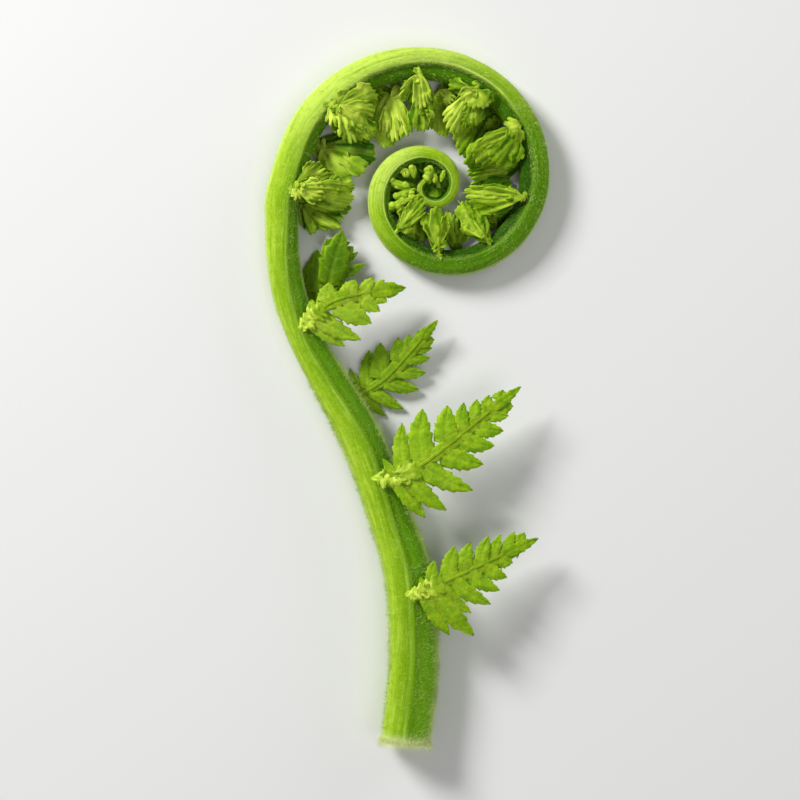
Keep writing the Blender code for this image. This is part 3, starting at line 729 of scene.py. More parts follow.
# the open pinnae
openValues = {
    "slantAtFoot": 66.0,  # between rib and leaflet
    "slantAtTip": 38.0,
    "firstFoot": 0.16,  # shares of the rib
    "leastGap": 0.045,
    "grooveWidths": (0.32, 0.14),
    "wingStart": 0.12,
    "stem": {"radius": 0.42, "tipRadius": 0.1, "drop": 0.4},
    "leaflet": {"toothSize": 0.28, "fold": -0.12, "arch": 0.03, "crumple": 0.04},
    "longLeaflet": 4.5,  # from here on a leaflet has five teeth
    "foot": {"high": 0.3, "reach": 2.2, "pale": 1.7},
    "ruffle": {"low": 0.04, "high": 0.18, "reach": 2.1, "pale": 1.1},
    # where each grows, its rib and its leaflets' tips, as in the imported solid, half the wing's widths, the
    # last leaflet's foot, width, teeth and their size, and how many pale lobes stand at the pinna's foot
    "pinnae": (
        {
            "arc": 26.9, "pale": 0.12, "side": 1, "deep": 0.0, "rib": ((5.3, -33.7, 9.2), (23.3, -25.6, 6.4)),
            "left": ((2.4, -32.2), (4.9, -29.2), (8.6, -26.8), (11.4, -26.1), (14.6, -25.1), (16.8, -24.8),
                     (19.3, -24.3), (21.1, -24.4)),
            "right": ((7.6, -42.6), (12.0, -42.6), (11.5, -38.6), (15.0, -37.1), (16.6, -34.7), (17.9, -32.4),
                      (18.9, -29.8), (20.5, -27.5)),
            "wing": (0.5, 1.0, 1.7, 1.2, 0.3), "end": (0.74, 2.3, 5, 0.3), "ruffles": 4,
        },
        {
            "arc": 48.9, "pale": 0.12, "side": 1, "deep": 0.0, "rib": ((1.8, -12.8, 9.0), (20.2, 1.5, 6.6)),
            "left": ((-4.2, -11.2), (-0.8, -4.8), (2.8, -2.3), (7.3, -1.7), (10.2, -1.2), (12.6, -0.6),
                     (14.7, 0.1), (17.2, 1.0)),
            "right": ((3.3, -21.7), (7.0, -20.4), (11.8, -16.8), (13.7, -12.2), (15.7, -8.9), (17.3, -6.2),
                      (18.2, -3.5), (19.0, -1.8)),
            "wing": (0.5, 0.8, 1.4, 1.0, 0.3), "end": (0.8, 2.1, 5, 0.3), "ruffles": 5,
        },
        {
            "arc": 63.8, "pale": 0.1, "side": -1, "deep": 0.22, "rib": ((-4.0, 3.0, 2.2), (5.4, 13.4, 3.6)),
            "left": (
                (-10.2, 4.9), (-6.8, 8.3), (-4.7, 9.6), (-1.5, 10.5), (0.4, 11.1), (2.1, 11.7), (3.3, 12.4),
            ),
            "right": (
                (-3.9, -3.6), (-0.6, -2.3), (2.2, 1.2), (3.5, 4.2), (4.2, 6.9), (4.6, 8.7), (5.0, 10.2),
            ),
            "wing": (0.5, 0.9, 1.4, 1.1, 0.3), "end": (0.82, 1.8, 4, 0.3), "ruffles": 0,
        },
        {
            "arc": 78.5, "pale": 0.3, "side": 1, "deep": 0.0, "rib": ((-12.8, 17.0, 7.6), (-0.4, 19.4, 5.4)),
            "left": ((-17.0, 17.3), (-13.8, 20.2), (-9.1, 20.7), (-5.8, 21.2), (-4.0, 20.8), (-2.2, 20.3)),
            "right": ((-11.1, 8.9), (-8.2, 10.1), (-6.3, 13.0), (-4.8, 15.2), (-3.5, 16.8), (-1.9, 18.2)),
            "wing": (0.5, 1.0, 1.6, 1.2, 0.3), "end": (0.72, 2.8, 5, 0.3), "ruffles": 4,
        },
        {
            "arc": 82.0, "pale": 0.1, "side": -1, "deep": 0.5,
            "rib": ((-13.2, 20.9, 2.4), (-11.6, 29.5, 3.6)),
            "left": ((-17.8, 18.0), (-18.1, 24.1), (-16.2, 26.5), (-14.5, 28.3)),
            "right": ((-9.8, 19.6), (-7.5, 23.9), (-8.8, 26.0), (-9.6, 27.0)),
            "wing": (0.6, 1.3, 1.9, 1.5, 0.4), "end": (0.4, 5.4, 4, 0.46), "ruffles": 0,
        },
    ),
}


def leafletFeet(rib, tips):
    feet = []
    values = openValues
    shares = np.arange(values["firstFoot"], 0.97, 0.01)
    bases, ways = rib.at(shares), rib.ahead(shares)
    for j, (x, y) in enumerate(tips):
        out = np.array((x, y)) - bases[:, :2]
        out = out / np.linalg.norm(out, axis=1)[:, None]
        lean = np.degrees(np.arccos(np.clip(np.sum(out * ways[:, :2], axis=1), -1, 1)))
        wanted = values["slantAtFoot"] + (values["slantAtTip"] - values["slantAtFoot"]) * shares
        found = shares[np.argmin(np.abs(lean - wanted))]
        least = feet[-1] + values["leastGap"] if feet else values["firstFoot"]
        most = 1.0 - (len(tips) - j) * values["leastGap"]
        feet.append(min(max(found, least), most))
    return feet


def makeOpenPinnae(material, stems):
    values = openValues
    pile = meshPile()
    for number, pinna in enumerate(values["pinnae"]):
        root = shoulderRoot(pinna["arc"], pinna["side"], across=-0.25 if pinna["ruffles"] else 0.2)
        rib = ribLine([root, *pinna["rib"]])
        deep = pinna["deep"]
        ribTube(stems, rib, **values["stem"])
        ribWing(pile, rib, pinna["wing"], values["wingStart"], deep)
        ribGroove(pile, rib, values["grooveWidths"], 0.3 if pinna["ruffles"] else 0.16, deep)
        for side, key in ((1, "left"), (-1, "right")):
            tips = pinna[key]
            feet = leafletFeet(rib, tips)
            ends = [feet[0] - 0.05, *feet, 1.0]
            for j, ((x, y), foot) in enumerate(zip(tips, feet)):
                base, ahead = rib.at(foot), rib.ahead(foot)
                reach = math.hypot(x - base[0], y - base[1])
                onward = ((x - base[0]) * ahead[0] + (y - base[1]) * ahead[1]) / reach
                lean = math.acos(np.clip(onward, -1, 1))
                room = (ends[j + 2] - ends[j]) / 2 * rib.length * math.sin(max(lean, 0.6))
                width = max(room * 1.27, reach * 0.38, 1.0)
                tip = np.array((x, y, base[2] - 0.12 * reach + 0.1 * math.sin(j * 2.1)))
                seed = 100 * number + 10 * j + (side > 0)
                leaflet(pile, base - upright * 0.07, tip, width, 5 if reach > values["longLeaflet"] else 4,
                        sickle=0.05 * side, pale=pinna["pale"], deep=deep, seed=seed, **values["leaflet"])
        share, width, teeth, toothSize = pinna["end"]
        leaflet(pile, rib.at(share) - upright * 0.03, rib.at(1.0) + rib.ahead(1.0) * 0.3, width, teeth,
                toothSize, foot=0.8, pale=0.05, deep=deep, seed=number)
        if pinna["ruffles"]:
            footBlade(pile, rib, 60 + number, **values["foot"])
            ruffle(pile, rib, pinna["ruffles"], 40 + number, **values["ruffle"])
    pile.finish("openPinnae", material, leafValues["thickness"])


# the crumpled pinnae inside the coil
coilValues = {
    "stem": {"radius": 0.4, "tipRadius": 0.1, "drop": 0.3, "cells": 16},
    "under": {  # the blade under each pinna's lobes
        "creases": 3, "toothWidth": 0.8, "toothDepth": 0.5, "foot": 0.25, "curl": 0.15, "roundness": 0.25,
    },
    "lobe": {"crumple": 0.3, "lean": 0.3, "foot": 0.14, "roundness": 0.22, "rows": 15},
    "frill": {
        "creases": 1, "creaseDepth": 0.14, "cut": 0.15, "toothWidth": 0.6, "toothDepth": 0.25, "foot": 0.35,
        "crumple": 0.2, "rows": 7,
    },
    "ruffle": {"low": 0.0, "high": 0.25, "reach": 1.6},
    "rufflePale": 0.7,
    "cutFrom": 0.35,  # lobes paler than this are cut deeper
    "rollMost": 0.25,
    "widen": 1.6,  # how much wider the lobes are than their spread
    "basePale": 0.17,
    "frills": 6,  # small lobes that stand up on each pinna
    "frillsRight": 2,
    "shadedRightPale": 0.55,  # painted shade: the coil's right side is less pale
    "leftTurn": 60.0,  # it starts below this turn
    "tipLevel": 0.5,
    # on the lower and the upper shoulder by turns: the root's turn, the tip and the width as in the packed
    # solid, how many pale lobes at the foot, perhaps its own widen and width of teeth, then the lobes: foot
    # and tip in pixels of the photograph, spread in degrees, lift, paleness (the lobe's own, and painted
    # light on raised lobes), depth of green (its own, and painted shade on sunken ones) and creases
    "pinnae": (
        {"turn": 186.0, "tip": (-11.3, 31.2), "width": 7.2, "widen": 1.05, "toothWidth": 1.7, "lobes": (
            (304, 204, 353, 208, 22, 0.3, 0.05, 0.3, 1), (305, 206, 347, 218, 20, 0, 0, 0.45, 1),
            (304, 208, 342, 229, 20, 0.3, 0.1, 0.3, 1), (304, 208, 329, 232, 18, 0, 0, 0.4, 1),
            (303, 207, 317, 236, 26, 0.3, 0.15, 0.2, 1), (300, 203, 304, 228, 22, 0, 0.1, 0.3, 1),
        )},
        {"turn": 180.0, "tip": (-9.1, 37.1), "width": 6.8, "ruffles": 6, "lobes": (
            (296, 189, 326, 193, 44, 0.5, 0.9, 0, 1), (303, 190, 355, 200, 30, 0.1, 0.25, 0.1, 2),
            (322, 190, 358, 181, 30, 0.2, 0, 0.45, 1), (298, 185, 329, 170, 52, 0.3, 0.45, 0, 2),
            (306, 186, 318, 166, 40, 0.2, 0.3, 0, 1), (298, 190, 301, 202, 110, 0.4, 0.85, 0, 1),
            (315, 192, 324, 201, 60, 0.3, 0.6, 0, 1), (325, 188, 342, 178, 40, 0.1, 0.2, 0.1, 1),
        )},
        {"turn": 160.0, "tip": (-5.7, 42.1), "width": 7.8, "toothWidth": 1.4, "lobes": (
            (328, 144, 379, 157, 34, 0.8, 0, 1.3, 2), (330, 148, 369, 168, 28, 0.7, 0.05, 0.35, 2),
            (326, 148, 352, 176, 36, 0.9, 0.2, 0.1, 2), (321, 148, 335, 172, 44, 1, 0.35, 0.1, 1),
            (320, 158, 324, 134, 60, 0.4, 0.4, 0.1, 2), (330, 140, 366, 141, 40, 0.1, 0, 0.6, 1),
            (318, 172, 347, 181, 34, -0.2, 0, 0.75, 1),
        )},
        {"turn": 141.0, "tip": (-7.0, 46.6), "width": 8.0, "ruffles": 6, "toothWidth": 0.95, "lobes": (
            (331, 104, 345, 126, 56, 0.5, 0.8, 0, 2), (341, 107, 362, 142, 40, 0.9, 0.75, 0, 2),
            (345, 108, 374, 120, 50, 0.7, 0.6, 0, 2), (343, 104, 381, 97, 46, 0.5, 0.35, 0.1, 2),
            (337, 102, 352, 96, 70, 0.3, 0.5, 0, 1), (352, 112, 373, 143, 36, 0.1, 0, 0.4, 2),
            (346, 112, 372, 140, 30, 0.5, 0.3, 0.1, 1),
        )},
        {"turn": 117.0, "tip": (-2.0, 45.5), "width": 7.4, "lobes": (
            (388, 92, 384, 147, 40, 0.3, 0.2, 0.2, 2), (392, 94, 400, 141, 30, 0.3, 0.45, 0, 2),
            (382, 95, 376, 141, 22, 0.1, 0.1, 0.3, 1), (396, 96, 408, 136, 20, 0.5, 0.6, 0, 1),
            (390, 96, 410, 92, 70, 0.7, 0.7, 0, 2), (386, 104, 385, 134, 22, 0.9, 0.85, 0, 1),
            (378, 96, 372, 110, 60, 0.2, 0.3, 0.2, 1), (402, 86, 388, 86, 60, 0.1, 0.3, 0.1, 1),
        )},
        {"turn": 97.0, "tip": (3.1, 47.3), "width": 4.2, "ruffles": 3, "lobes": (
            (418, 76, 405, 104, 40, 0.3, 0.4, 0.05, 2), (419, 76, 423, 112, 28, 1, 0.55, 0, 2),
            (420, 92, 419, 134, 26, 0.2, 0.1, 0.35, 1), (424, 92, 428, 131, 18, 0, 0, 0.6, 1),
            (414, 84, 401, 90, 50, 0.3, 0.3, 0, 1),
        )},
        {"turn": 83.0, "tip": (6.8, 46.8), "width": 4.6, "lobes": (
            (441, 86, 443, 137, 26, 0.3, 0.2, 0.05, 2), (438, 90, 433, 131, 20, 0.1, 0.1, 0.3, 1),
            (440, 88, 451, 107, 70, 0.8, 0.5, 0, 2), (444, 100, 449, 136, 16, 0.4, 0.2, 0.1, 1),
            (446, 86, 437, 92, 60, 0.2, 0.3, 0.1, 1),
        )},
        {"turn": 66.0, "tip": (8.0, 47.5), "width": 4.8, "ruffles": 4, "toothWidth": 0.95, "lobes": (
            (470, 93, 447, 133, 24, 0.9, 0.6, 0, 2), (476, 90, 462, 106, 60, 0.9, 0.4, 0, 2),
            (479, 92, 478, 113, 100, 0.9, 0.25, 0.1, 2), (472, 100, 458, 128, 28, 0.4, 0.2, 0.3, 1),
            (470, 90, 446, 85, 36, 0.1, 0.2, 0.1, 2), (478, 100, 470, 127, 50, 0.5, 0.1, 0.25, 2),
            (484, 92, 489, 106, 70, 0.3, 0.1, 0.2, 1),
        )},
        {"turn": 51.0, "tip": (9.6, 44.3), "width": 6.5, "toothWidth": 1.15, "lobes": (
            (482, 116, 452, 136, 36, 0.5, 0, 0.3, 2), (482, 118, 462, 156, 34, 0.5, 0, 0.25, 2),
            (487, 118, 474, 150, 24, 0, 0, 0.7, 1), (502, 119, 484, 127, 56, 0.3, 0.3, 0, 1),
            (500, 116, 492, 120, 80, 0.2, 0.2, 0.1, 1),
        )},
        {"turn": 34.0, "tip": (10.0, 41.8), "width": 4.4, "ruffles": 5, "toothWidth": 1.35, "lobes": (
            (520, 127, 502, 132, 70, 0.5, 0.6, 0, 2), (519, 130, 517, 146, 60, 0.4, 0.5, 0, 1),
            (506, 130, 463, 165, 16, 1, 0.3, 0, 2), (512, 134, 473, 162, 34, 0.7, 0.25, 0.05, 2),
            (516, 137, 494, 167, 46, 0.3, 0.05, 0.25, 2), (500, 150, 463, 163, 20, 0.1, 0, 0.4, 1),
            (517, 140, 515, 165, 40, 0.1, 0, 0.3, 1),
        )},
        {"turn": 17.0, "tip": (10.5, 40.1), "width": 5.8, "toothWidth": 1.15, "lobes": (
            (510, 166, 465, 172, 20, 0.5, 0.65, 0, 2), (508, 171, 467, 182, 22, 0.4, 0.55, 0, 2),
            (510, 176, 478, 190, 30, 0, 0, 0.75, 2), (512, 180, 497, 192, 50, 0, 0, 0.85, 1),
        )},
        {"turn": -7.0, "tip": (9.8, 36.7), "width": 3.4, "ruffles": 3, "toothWidth": 1.15, "lobes": (
            (522, 198, 461, 193, 14, 0.8, 0.45, 0, 2), (517, 200, 468, 205, 22, 0.5, 0.35, 0, 2),
            (514, 202, 485, 210, 34, 0.2, 0, 0.4, 2), (520, 196, 500, 190, 40, 0.5, 0.4, 0, 1),
        )},
        {"turn": -26.0, "tip": (12.4, 34.9), "width": 4.7, "lobes": (
            (506, 216, 480, 204, 56, 0.1, 0, 0.75, 2), (500, 222, 488, 212, 80, 0, 0, 0.8, 1),
            (497, 226, 481, 216, 70, 0.3, 0.1, 0.4, 1), (512, 212, 495, 206, 60, 0.1, 0, 0.6, 1),
        )},
        {"turn": -47.0, "tip": (9.1, 35.6), "width": 4.3, "ruffles": 2, "toothWidth": 1.2, "lobes": (
            (482, 238, 457, 199, 22, 0.7, 0.35, 0, 2), (483, 237, 467, 204, 24, 0.5, 0.3, 0, 2),
            (485, 237, 479, 214, 36, 0.2, 0.05, 0.3, 2), (478, 236, 458, 222, 30, 0.3, 0.2, 0.1, 1),
        )},
        {"turn": -71.0, "tip": (7.5, 34.0), "width": 2.4, "lobes": (
            (455, 246, 448, 208, 24, 0.2, 0.2, 0.1, 2), (458, 244, 456, 222, 50, 0, 0, 0.6, 1),
            (461, 243, 470, 212, 40, 0.2, 0.15, 0.3, 2),
        )},
        {"turn": -87.0, "tip": (5.5, 34.6), "width": 3.2, "ruffles": 2, "toothWidth": 1.2, "lobes": (
            (437, 245, 439, 205, 26, 0.8, 0.35, 0, 2), (434, 243, 426, 211, 28, 0.4, 0.2, 0.05, 2),
            (441, 243, 447, 213, 16, 0.4, 0.2, 0, 1),
        )},
        {"turn": -113.0, "tip": (3.7, 32.9), "width": 1.8, "lobes": (
            (424, 241, 419, 218, 44, 0.2, 0.1, 0.4, 2), (416, 238, 424, 222, 40, 0.1, 0.1, 0.4, 1),
        )},
        {"turn": -131.0, "tip": (3.3, 35.3), "width": 2.6, "lobes": (
            (400, 228, 425, 199, 30, 0.8, 0.4, 0, 2), (401, 224, 414, 208, 60, 0.5, 0.25, 0.1, 2),
            (402, 232, 414, 226, 60, 0.3, 0.15, 0.2, 1),
        )},
    ),
}


def makeCoilPinnae(material, stems):
    values = coilValues
    piles = {1: meshPile(), -1: meshPile()}
    for number, pinna in enumerate(values["pinnae"]):
        draw = np.random.default_rng(500 + number)
        side = 1 if number % 2 else -1
        pile = piles[side]
        arc = growth.arcAt(pinna["turn"])
        root = shoulderRoot(arc, side, 0.2)
        end = np.array((*pinna["tip"], float(growth.height(arc)) + side * values["tipLevel"]))
        elbow = root + (end - root) * 0.4
        elbow[2] = root[2] + (0.8 if side > 0 else 0.1)
        rib = ribLine([root, elbow, end])
        ribTube(stems, rib, **values["stem"])
        reach = np.linalg.norm(end[:2] - root[:2])

        def levelAt(spot):
            share = min(np.linalg.norm(spot - root[:2]) / reach, 1.0)
            return root[2] + (end[2] - root[2]) * share + 0.5 * side * math.sin(math.pi * share)

        spread = math.degrees(2 * math.atan(pinna["width"] * 0.5 / (0.8 * reach)))
        fan(pile, rib.at(0.08) - upright * 0.5, rib.at(0.88) - upright * 0.7, spread * 1.4,
            deep=0.35 if side > 0 else 0.7, seed=650 + number, **values["under"])
        isLeft = pinna["turn"] > values["leftTurn"]
        # painted shade on the coil's right side
        shade = 1.0 if isLeft else values["shadedRightPale"]
        for k, (x, y, tipX, tipY, spread, lift, pale, deep, creases) in enumerate(pinna["lobes"]):
            foot, tip = fromPhoto(x, y), fromPhoto(tipX, tipY)
            foot = np.array((*foot, levelAt(foot) + lift))
            tip = np.array((*tip, levelAt(tip) + lift))
            foot, tip = foot - (tip - foot) * 0.04, tip + (tip - foot) * 0.05
            isCut = pale > values["cutFrom"]
            fan(pile, foot, tip, spread * pinna.get("widen", values["widen"]), cut=0.16 if isCut else 0.0,
                creases=creases, toothWidth=pinna.get("toothWidth", 0.9 if isCut else 0.72),
                toothDepth=0.35 if isCut else 0.5, cup=draw.uniform(-0.15, 0.05),
                curl=draw.uniform(0.0, 0.2), roll=draw.uniform(-1, 1) * values["rollMost"],
                pale=(values["basePale"] + pale) * shade, deep=deep, seed=700 + 20 * number + k,
                **values["lobe"])
        ahead = unit(end - root)
        left = unit(np.cross(upright, ahead))
        for k in range(values["frills" if isLeft else "frillsRight"]):
            share = draw.uniform(0.1, 0.75)
            aside = draw.uniform(-0.4, 0.4) * pinna["width"] * (0.3 + 0.7 * share)
            foot = root + (end - root) * share + left * aside
            foot[2] = levelAt(foot[:2]) + draw.uniform(0.2, 0.7)
            turn = draw.normal(0, 0.5) + 0.12 * aside
            out = ahead * math.cos(turn) + left * math.sin(turn) + upright * draw.uniform(-0.2, 0.25)
            size = draw.uniform(1.4, 2.7) * min(1, reach / 7)
            fan(pile, foot, foot + out * size, draw.uniform(45, 90), cup=draw.uniform(-0.3, 0.1),
                curl=draw.uniform(0.1, 0.4), pale=draw.uniform(0, 0.4) * shade, deep=draw.uniform(0, 0.3),
                roll=draw.uniform(-0.4, 0.4), seed=1300 + 20 * number + k, **values["frill"])
        ruffle(pile, rib, pinna.get("ruffles", 0), 140 + number, pale=values["rufflePale"] * shade,
               **values["ruffle"])
    # dark leaf as painted shade behind the fingers
    for k, (x, y, tipX, tipY, spread) in enumerate(budValues["shadeFiller"]):
        ends = ((x, y), (tipX, tipY))
        foot, tip = (np.array((*fromPhoto(*spot), budValues["shadeFillerLevel"])) for spot in ends)
        fan(piles[-1], foot, tip, spread, deep=0.9, foot=0.6, seed=900 + k)
    for side, name in ((1, "coilPinnaeUpper"), (-1, "coilPinnaeLower")):
        piles[side].finish(name, material, leafValues["thickness"])


# fingers, knobs and the curled ball near the coil's heart
budValues = {
    "level": 3.1,
    "tipRise": 0.3,
    "curls": 15,  # knobs in the curled ball
    "fingers": (  # thick end and tip in pixels of the photograph, thickness in millimetres, bulges
        (390, 208, 418, 196, 1.7, 4), (396, 197, 414, 189, 1.3, 3), (392, 182, 409, 188, 1.5, 3),
        (413, 166, 414, 177, 1.25, 2), (430, 168, 429, 179, 1.7, 4), (444, 172, 441, 181, 0.9, 2),
        (428, 177, 430, 183, 0.9, 2), (435, 175, 436, 182, 1.0, 3), (437, 247, 436, 243, 1.2, 2),
        (444, 241, 441, 238, 0.9, 1), (418, 206, 412, 200, 1.0, 2),
    ),
    "ball": (405.5, 173.0, 0.72, 0.42),  # middle in pixels, the ring's radius and the tube's
    "shadeFiller": (  # dark folded leaf behind them, coloured as painted shade in the gaps: foot and tip in pixels, spread in degrees
        (392, 214, 421, 190, 70), (386, 194, 420, 188, 60), (392, 172, 420, 184, 70),
        (408, 158, 421, 182, 70), (428, 158, 431, 182, 70), (446, 166, 434, 184, 60),
        (450, 184, 434, 187, 60), (444, 200, 434, 189, 60), (426, 202, 432, 190, 60),
        (424, 178, 446, 197, 110), (446, 177, 421, 196, 110), (422, 192, 447, 182, 110),
    ),
    "shadeFillerLevel": 1.5,
}


def knob(pile, shape, middle, ahead, long, wide, pale, seed):
    mesh, ball = shape
    ahead = unit(ahead)
    left = unit(np.cross(upright, ahead) + 1e-6)
    up = np.cross(ahead, left)
    turn = np.arctan2(ball[:, 1], ball[:, 2])
    taper = 1 - 0.35 * ball[:, 0]
    swell = 1 + 0.1 * np.cos(turn * 5 + seed) * (1 - ball[:, 0] ** 2) + 0.06 * np.sin(ball[:, 0] * 7 + seed)
    reach = wide * taper * swell
    points = middle + ahead * (ball[:, 0] * long)[:, None] + left * (ball[:, 1] * reach)[:, None]
    points = points + up * (ball[:, 2] * reach)[:, None]
    # painted highlights on the bulges' crests, and painted light that makes each knob paler towards its top
    leaf = rowsOf(turn, 0, np.clip(np.cos(turn * 5 + seed), 0, 1) * 0.3, seed * 0.37 % 1)
    pile.lay(mesh, points, leaf, rowsOf(turn, np.clip(pale * (0.6 + 0.6 * ball[:, 2]), 0, 1), 0.1, 0))


def makeBuds(material, pile):
    bm = bmesh.new()
    bmesh.ops.create_icosphere(bm, subdivisions=3, radius=1.0)
    shape = asMesh(bm, "knob")
    draw = np.random.default_rng(91)
    for x, y, tipX, tipY, thick, bulges in budValues["fingers"]:
        foot = np.array((*fromPhoto(x, y), budValues["level"]))
        tip = np.array((*fromPhoto(tipX, tipY), budValues["level"] + budValues["tipRise"]))
        reach = np.linalg.norm(tip - foot)
        ahead = (tip - foot) / reach
        knob(pile, shape, (foot + tip) / 2, ahead, reach * 0.62, thick * 0.5, 0.12, draw.uniform(0, 6))
        for k in range(bulges):
            spot = foot + ahead * reach * (k + draw.uniform(0, 0.6)) / bulges + upright * thick * 0.15
            spot = spot + np.cross(upright, ahead) * thick * draw.uniform(-0.3, 0.3)
            size = thick * draw.uniform(0.34, 0.5) * (1 - 0.3 * k / bulges)
            out = ahead + draw.normal(0, 0.3, 3)
            knob(pile, shape, spot, out, size * 1.35, size, draw.uniform(0.15, 0.5), draw.uniform(0, 6))
    x, y, ring, tube = budValues["ball"]
    middle = np.array((*fromPhoto(x, y), budValues["level"]))
    for k in range(budValues["curls"]):  # a tightly curled young pinna
        turn = math.radians(150 - 26 * k)
        size = 1 - 0.035 * k
        spot = middle + np.array((math.cos(turn), math.sin(turn), 0.04 * k)) * ring * size
        along = np.array((math.sin(turn), -math.cos(turn), 0.05))
        knob(pile, shape, spot, along, tube * size * 1.1, tube * size, 0.25, k * 1.3)
        lobe = spot + np.array((-math.cos(turn), -math.sin(turn), 0.8)) * tube * 0.5
        knob(pile, shape, lobe, along, tube * 0.5, tube * 0.42, 0.6, k * 2.1)
    pile.finish("buds", material, weld=True)


def leafFinish():
    finish = surfaceFinish("leafSkin")
    values = leafValues
    edge, midrib, mark = finish.parts(finish.attribute("leaf"))
    pale, deep, vein = finish.parts(finish.attribute("tone"))
    place = finish.place()
    veinLine = (vein.fraction() - 0.5).absolute().step(0.38, 0.5)
    mottle = finish.noise(place, 700.0, 4.0, 0.6)
    grain = finish.noise(place, 4200.0, 2.0, 0.5)
    blotch = finish.noise(place, 420.0, 2.0, 0.5)
    crinkle = finish.noise(place, 1500.0, 3.0, 0.55)
    skin = finish.mix(mottle.step(0.35, 0.68), values["green"], values["lime"])
    skin = finish.mix(mark * 0.2, skin, values["lime"])
    skin = finish.layers(skin, values, (
        (blotch, 0.54, 0.72, 0.3, "margin"),
        (1 - blotch, 0.54, 0.72, 0.3, "deep"),
        (crinkle, 0.5, 0.7, 0.25, "lime"),
        (1 - crinkle, 0.5, 0.7, 0.3, "deep"),
    ))
    skin = finish.mix(deep, skin, values["deep"])
    skin = finish.mix(pale, skin, values["pale"])
    # pale midribs and rib ridges, and painted highlights along the fans' crease ridges and the knobs' bulges
    skin = finish.mix(veinLine * 0.12 + midrib * 0.4, skin, values["margin"])
    skin = finish.mix(edge.step(0.82, 1.0) * 0.55, skin, values["margin"])
    height = mottle * 0.5 + grain * 0.12 - veinLine * 0.1 + crinkle * 0.6
    finish.shine({
        "Base Color": skin,
        "Roughness": 0.4 + mottle * 0.2,
        "Normal": finish.bump(height, 0.7, values["bumpDepth"]),
    })
    finish.plantShine(0.2, (0.5, 1.0, 0.1), 0.001)
    return finish.material


# hairs
hairValues = {
    "radius": 0.027,
    "lowest": 0.05,
    "highest": 9.4,
    "colour": (0.38, 0.58, 0.06),
    "paleColour": (0.68, 0.86, 0.22),
    "fringeColour": (0.84, 0.92, 0.42),  # round the cut end, below these heights in metres
    "fringe": (-0.0615, -0.059),
    "stray": 0.35,
    "bend": 0.45,
    # way along from and to, across from and to, how many, shortest, longest, how far they lie over
    "zones": (
        (0.0, 0.9, -1.0, 1.0, 900, 0.5, 2.0, -3.0),
        (0.5, 32.0, 0.3, 1.0, 1900, 0.5, 1.3, 0.5),
        (0.5, 70.0, 0.76, 1.0, 1600, 0.5, 1.2, 0.4),
        (0.5, 70.0, -1.0, -0.84, 1600, 0.5, 1.1, 0.4),
        (0.5, 110.0, -0.8, 0.3, 1200, 0.3, 0.7, 1.2),
        (30.0, 150.0, 0.3, 1.0, 1500, 0.4, 0.9, 1.0),
        (70.0, 250.0, -1.0, -0.8, 1500, 0.2, 0.45, 0.6),
        (118.0, 205.0, -0.15, 0.35, 1500, 0.4, 0.9, 1.8),
        (140.0, 205.0, -0.9, 0.3, 1300, 0.3, 0.8, 1.5),
        (150.0, 235.0, 0.1, 0.9, 500, 0.2, 0.5, 1.0),
    ),
    "downZones": (  # the same for the short straight ones
        (0.5, 112.0, -0.95, 0.95, 9000, 0.18, 0.4, 1.0),
        (0.5, 90.0, -1.0, -0.75, 2500, 0.25, 0.5, 0.3),
        (112.0, 300.0, -1.0, 0.9, 7000, 0.1, 0.24, 1.2),
    ),
}


def needleMesh(bent):
    bm = bmesh.new()
    tipRadius = 0.25 if bent else 0.0
    bmesh.ops.create_cone(bm, segments=3, radius1=1.0, radius2=tipRadius, depth=1.0, cap_ends=True)
    bmesh.ops.translate(bm, verts=bm.verts, vec=(0, 0, 0.5))
    if bent:
        parts = [*bm.verts, *bm.edges, *bm.faces]
        bmesh.ops.bisect_plane(bm, geom=parts, plane_co=(0, 0, 0.5), plane_no=(0, 0, 1))
    return asMesh(bm, "needle")


def makeHairs(name, material, zones, bent, seed):
    needle, places = needleMesh(bent)
    draw = np.random.default_rng(seed)
    drawn = []
    table = np.linspace(0, 1, 2000)
    acrossTable = np.interp(table, sectionWay, sectionRing[:, 0])
    deepTable = np.interp(table, sectionWay, sectionRing[:, 1])
    for low, high, acrossLow, acrossHigh, count, short, long, lean in zones:
        fits = table[(acrossTable >= acrossLow) & (acrossTable <= acrossHigh) & (deepTable > -0.45)]
        drawn.append((
            draw.uniform(low, min(high, growth.length), count), draw.choice(fits, count),
            draw.uniform(short, long, count), np.full(count, lean),
        ))
    arcs, arounds, lengths, leans = (np.concatenate(column) for column in zip(*drawn))
    roots, _, outward = rachisPoints(arcs, arounds)
    _, along, _ = growth.frame(arcs)
    stray = draw.normal(0, hairValues["stray"], roots.shape)
    first = unit(outward + along * (leans * draw.uniform(0.2, 1.0, len(arcs)))[:, None] + stray)
    second = unit(first + draw.normal(0, hairValues["bend"], roots.shape))
    sideA = unit(np.cross(first, along + 0.01))
    bm = bmesh.new()
    for _ in range(len(arcs)):
        bm.from_mesh(needle)
    mesh, _ = asMesh(bm, name)
    z = places[:, 2]
    points = roots[:, None] - first[:, None] * 0.05
    for axis, side in enumerate((sideA, np.cross(first, sideA))):
        points = points + side[:, None] * (places[:, axis:axis + 1] * hairValues["radius"])
    for way, part in ((first, np.minimum(z, 0.5)), (second, np.maximum(z - 0.5, 0))):
        points = points + way[:, None] * (lengths[:, None] * part)[:, :, None]
    points[:, :, 2] = np.clip(points[:, :, 2], hairValues["lowest"], hairValues["highest"])
    placePoints(mesh, points)
    asPiece(name, mesh, material)
    print(name, "made:", len(arcs))


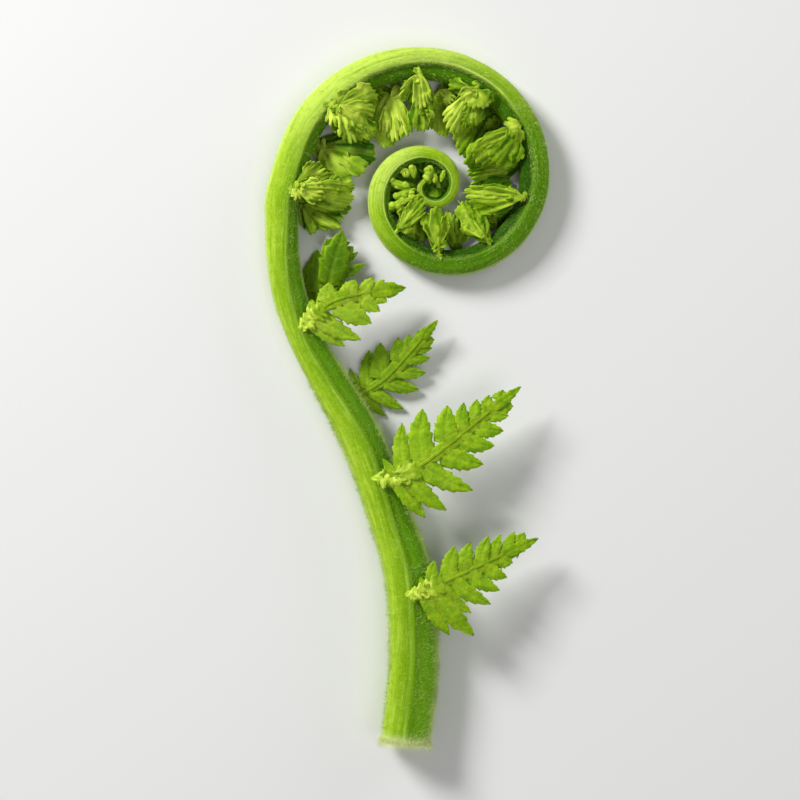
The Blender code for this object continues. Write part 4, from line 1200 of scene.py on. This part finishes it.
def hairFinish():
    finish = surfaceFinish("hair")
    place = finish.place()
    tint = finish.noise(place, 300.0, 2.0)
    upStalk = finish.parts(place)[1]
    skin = finish.mix(tint.step(0.35, 0.65), hairValues["colour"], hairValues["paleColour"])
    finish.shine({
        "Base Color": finish.mix(upStalk.step(*hairValues["fringe"]), hairValues["fringeColour"], skin),
        "Roughness": 0.5 + tint * 0.2,
        "Specular IOR Level": 0.5,
    })
    return finish.material


# studio
studioValues = {
    "floorColour": (0.8, 0.8, 0.79),
    "floorHalf": 3.0,
    "lens": 100.0,
    "sensor": 36.0,
    "nearest": 0.01,
    "sharpLevel": 4.0,  # the height at which a pixel is as wide as the photograph's
    "lamps": (  # name, place and size in metres, power
        ("key", (-0.5, 0.46, 0.42), 0.25, 7.2),
        ("fill", (0.3, -0.3, 0.8), 0.5, 1.6),
        ("rim", (0.5, 0.4, 0.2), 0.25, 0.8),
    ),
    "world": 0.22,
}


def makeStudio():
    bm = bmesh.new()
    bmesh.ops.create_grid(bm, x_segments=1, y_segments=1, size=studioValues["floorHalf"])
    mesh, _ = asMesh(bm, "floor")
    floor = intoScene("floor", mesh)
    finish = surfaceFinish("paleFloor")
    finish.shine({"Base Color": studioValues["floorColour"], "Roughness": 0.9, "Specular IOR Level": 0.2})
    mesh.materials.append(finish.material)
    for name, place, size, power in studioValues["lamps"]:
        light = bpy.data.lights.new(name, "AREA")
        light.size = size
        light.energy = power
        lamp = intoScene(name, light)
        lamp.location = place
        lamp.rotation_euler = (-Vector(place)).to_track_quat("-Z", "Y").to_euler()
    world = bpy.data.worlds.new("studio")
    world.use_nodes = True
    sky = world.node_tree.nodes["Background"].inputs
    sky["Color"].default_value = (1.0, 1.0, 1.0, 1.0)
    sky["Strength"].default_value = studioValues["world"]
    bpy.context.scene.world = world
    bpy.context.scene.view_settings.view_transform = "Standard"
    print("floor and lamps made")


def makeCamera():
    data = bpy.data.cameras.new("camera")
    data.lens = studioValues["lens"]
    data.sensor_width = studioValues["sensor"]
    data.clip_start = studioValues["nearest"]
    camera = intoScene("camera", data)
    x, y = fromPhoto(photoValues["side"] / 2, photoValues["side"] / 2)
    away = photoValues["side"] * photoValues["pixel"] * data.lens / data.sensor_width
    camera.location = (x * metre, y * metre, (away + studioValues["sharpLevel"]) * metre)
    bpy.context.scene.camera = camera
    print("camera made")


makeStudio()
makeCamera()
makeRachis(rachisFinish())
leafMaterial = leafFinish()
stemPile = meshPile()
makeOpenPinnae(leafMaterial, stemPile)
makeCoilPinnae(leafMaterial, stemPile)
makeBuds(leafMaterial, stemPile)
hairMaterial = hairFinish()
makeHairs("hairs", hairMaterial, hairValues["zones"], True, 7)
makeHairs("down", hairMaterial, hairValues["downZones"], False, 8)
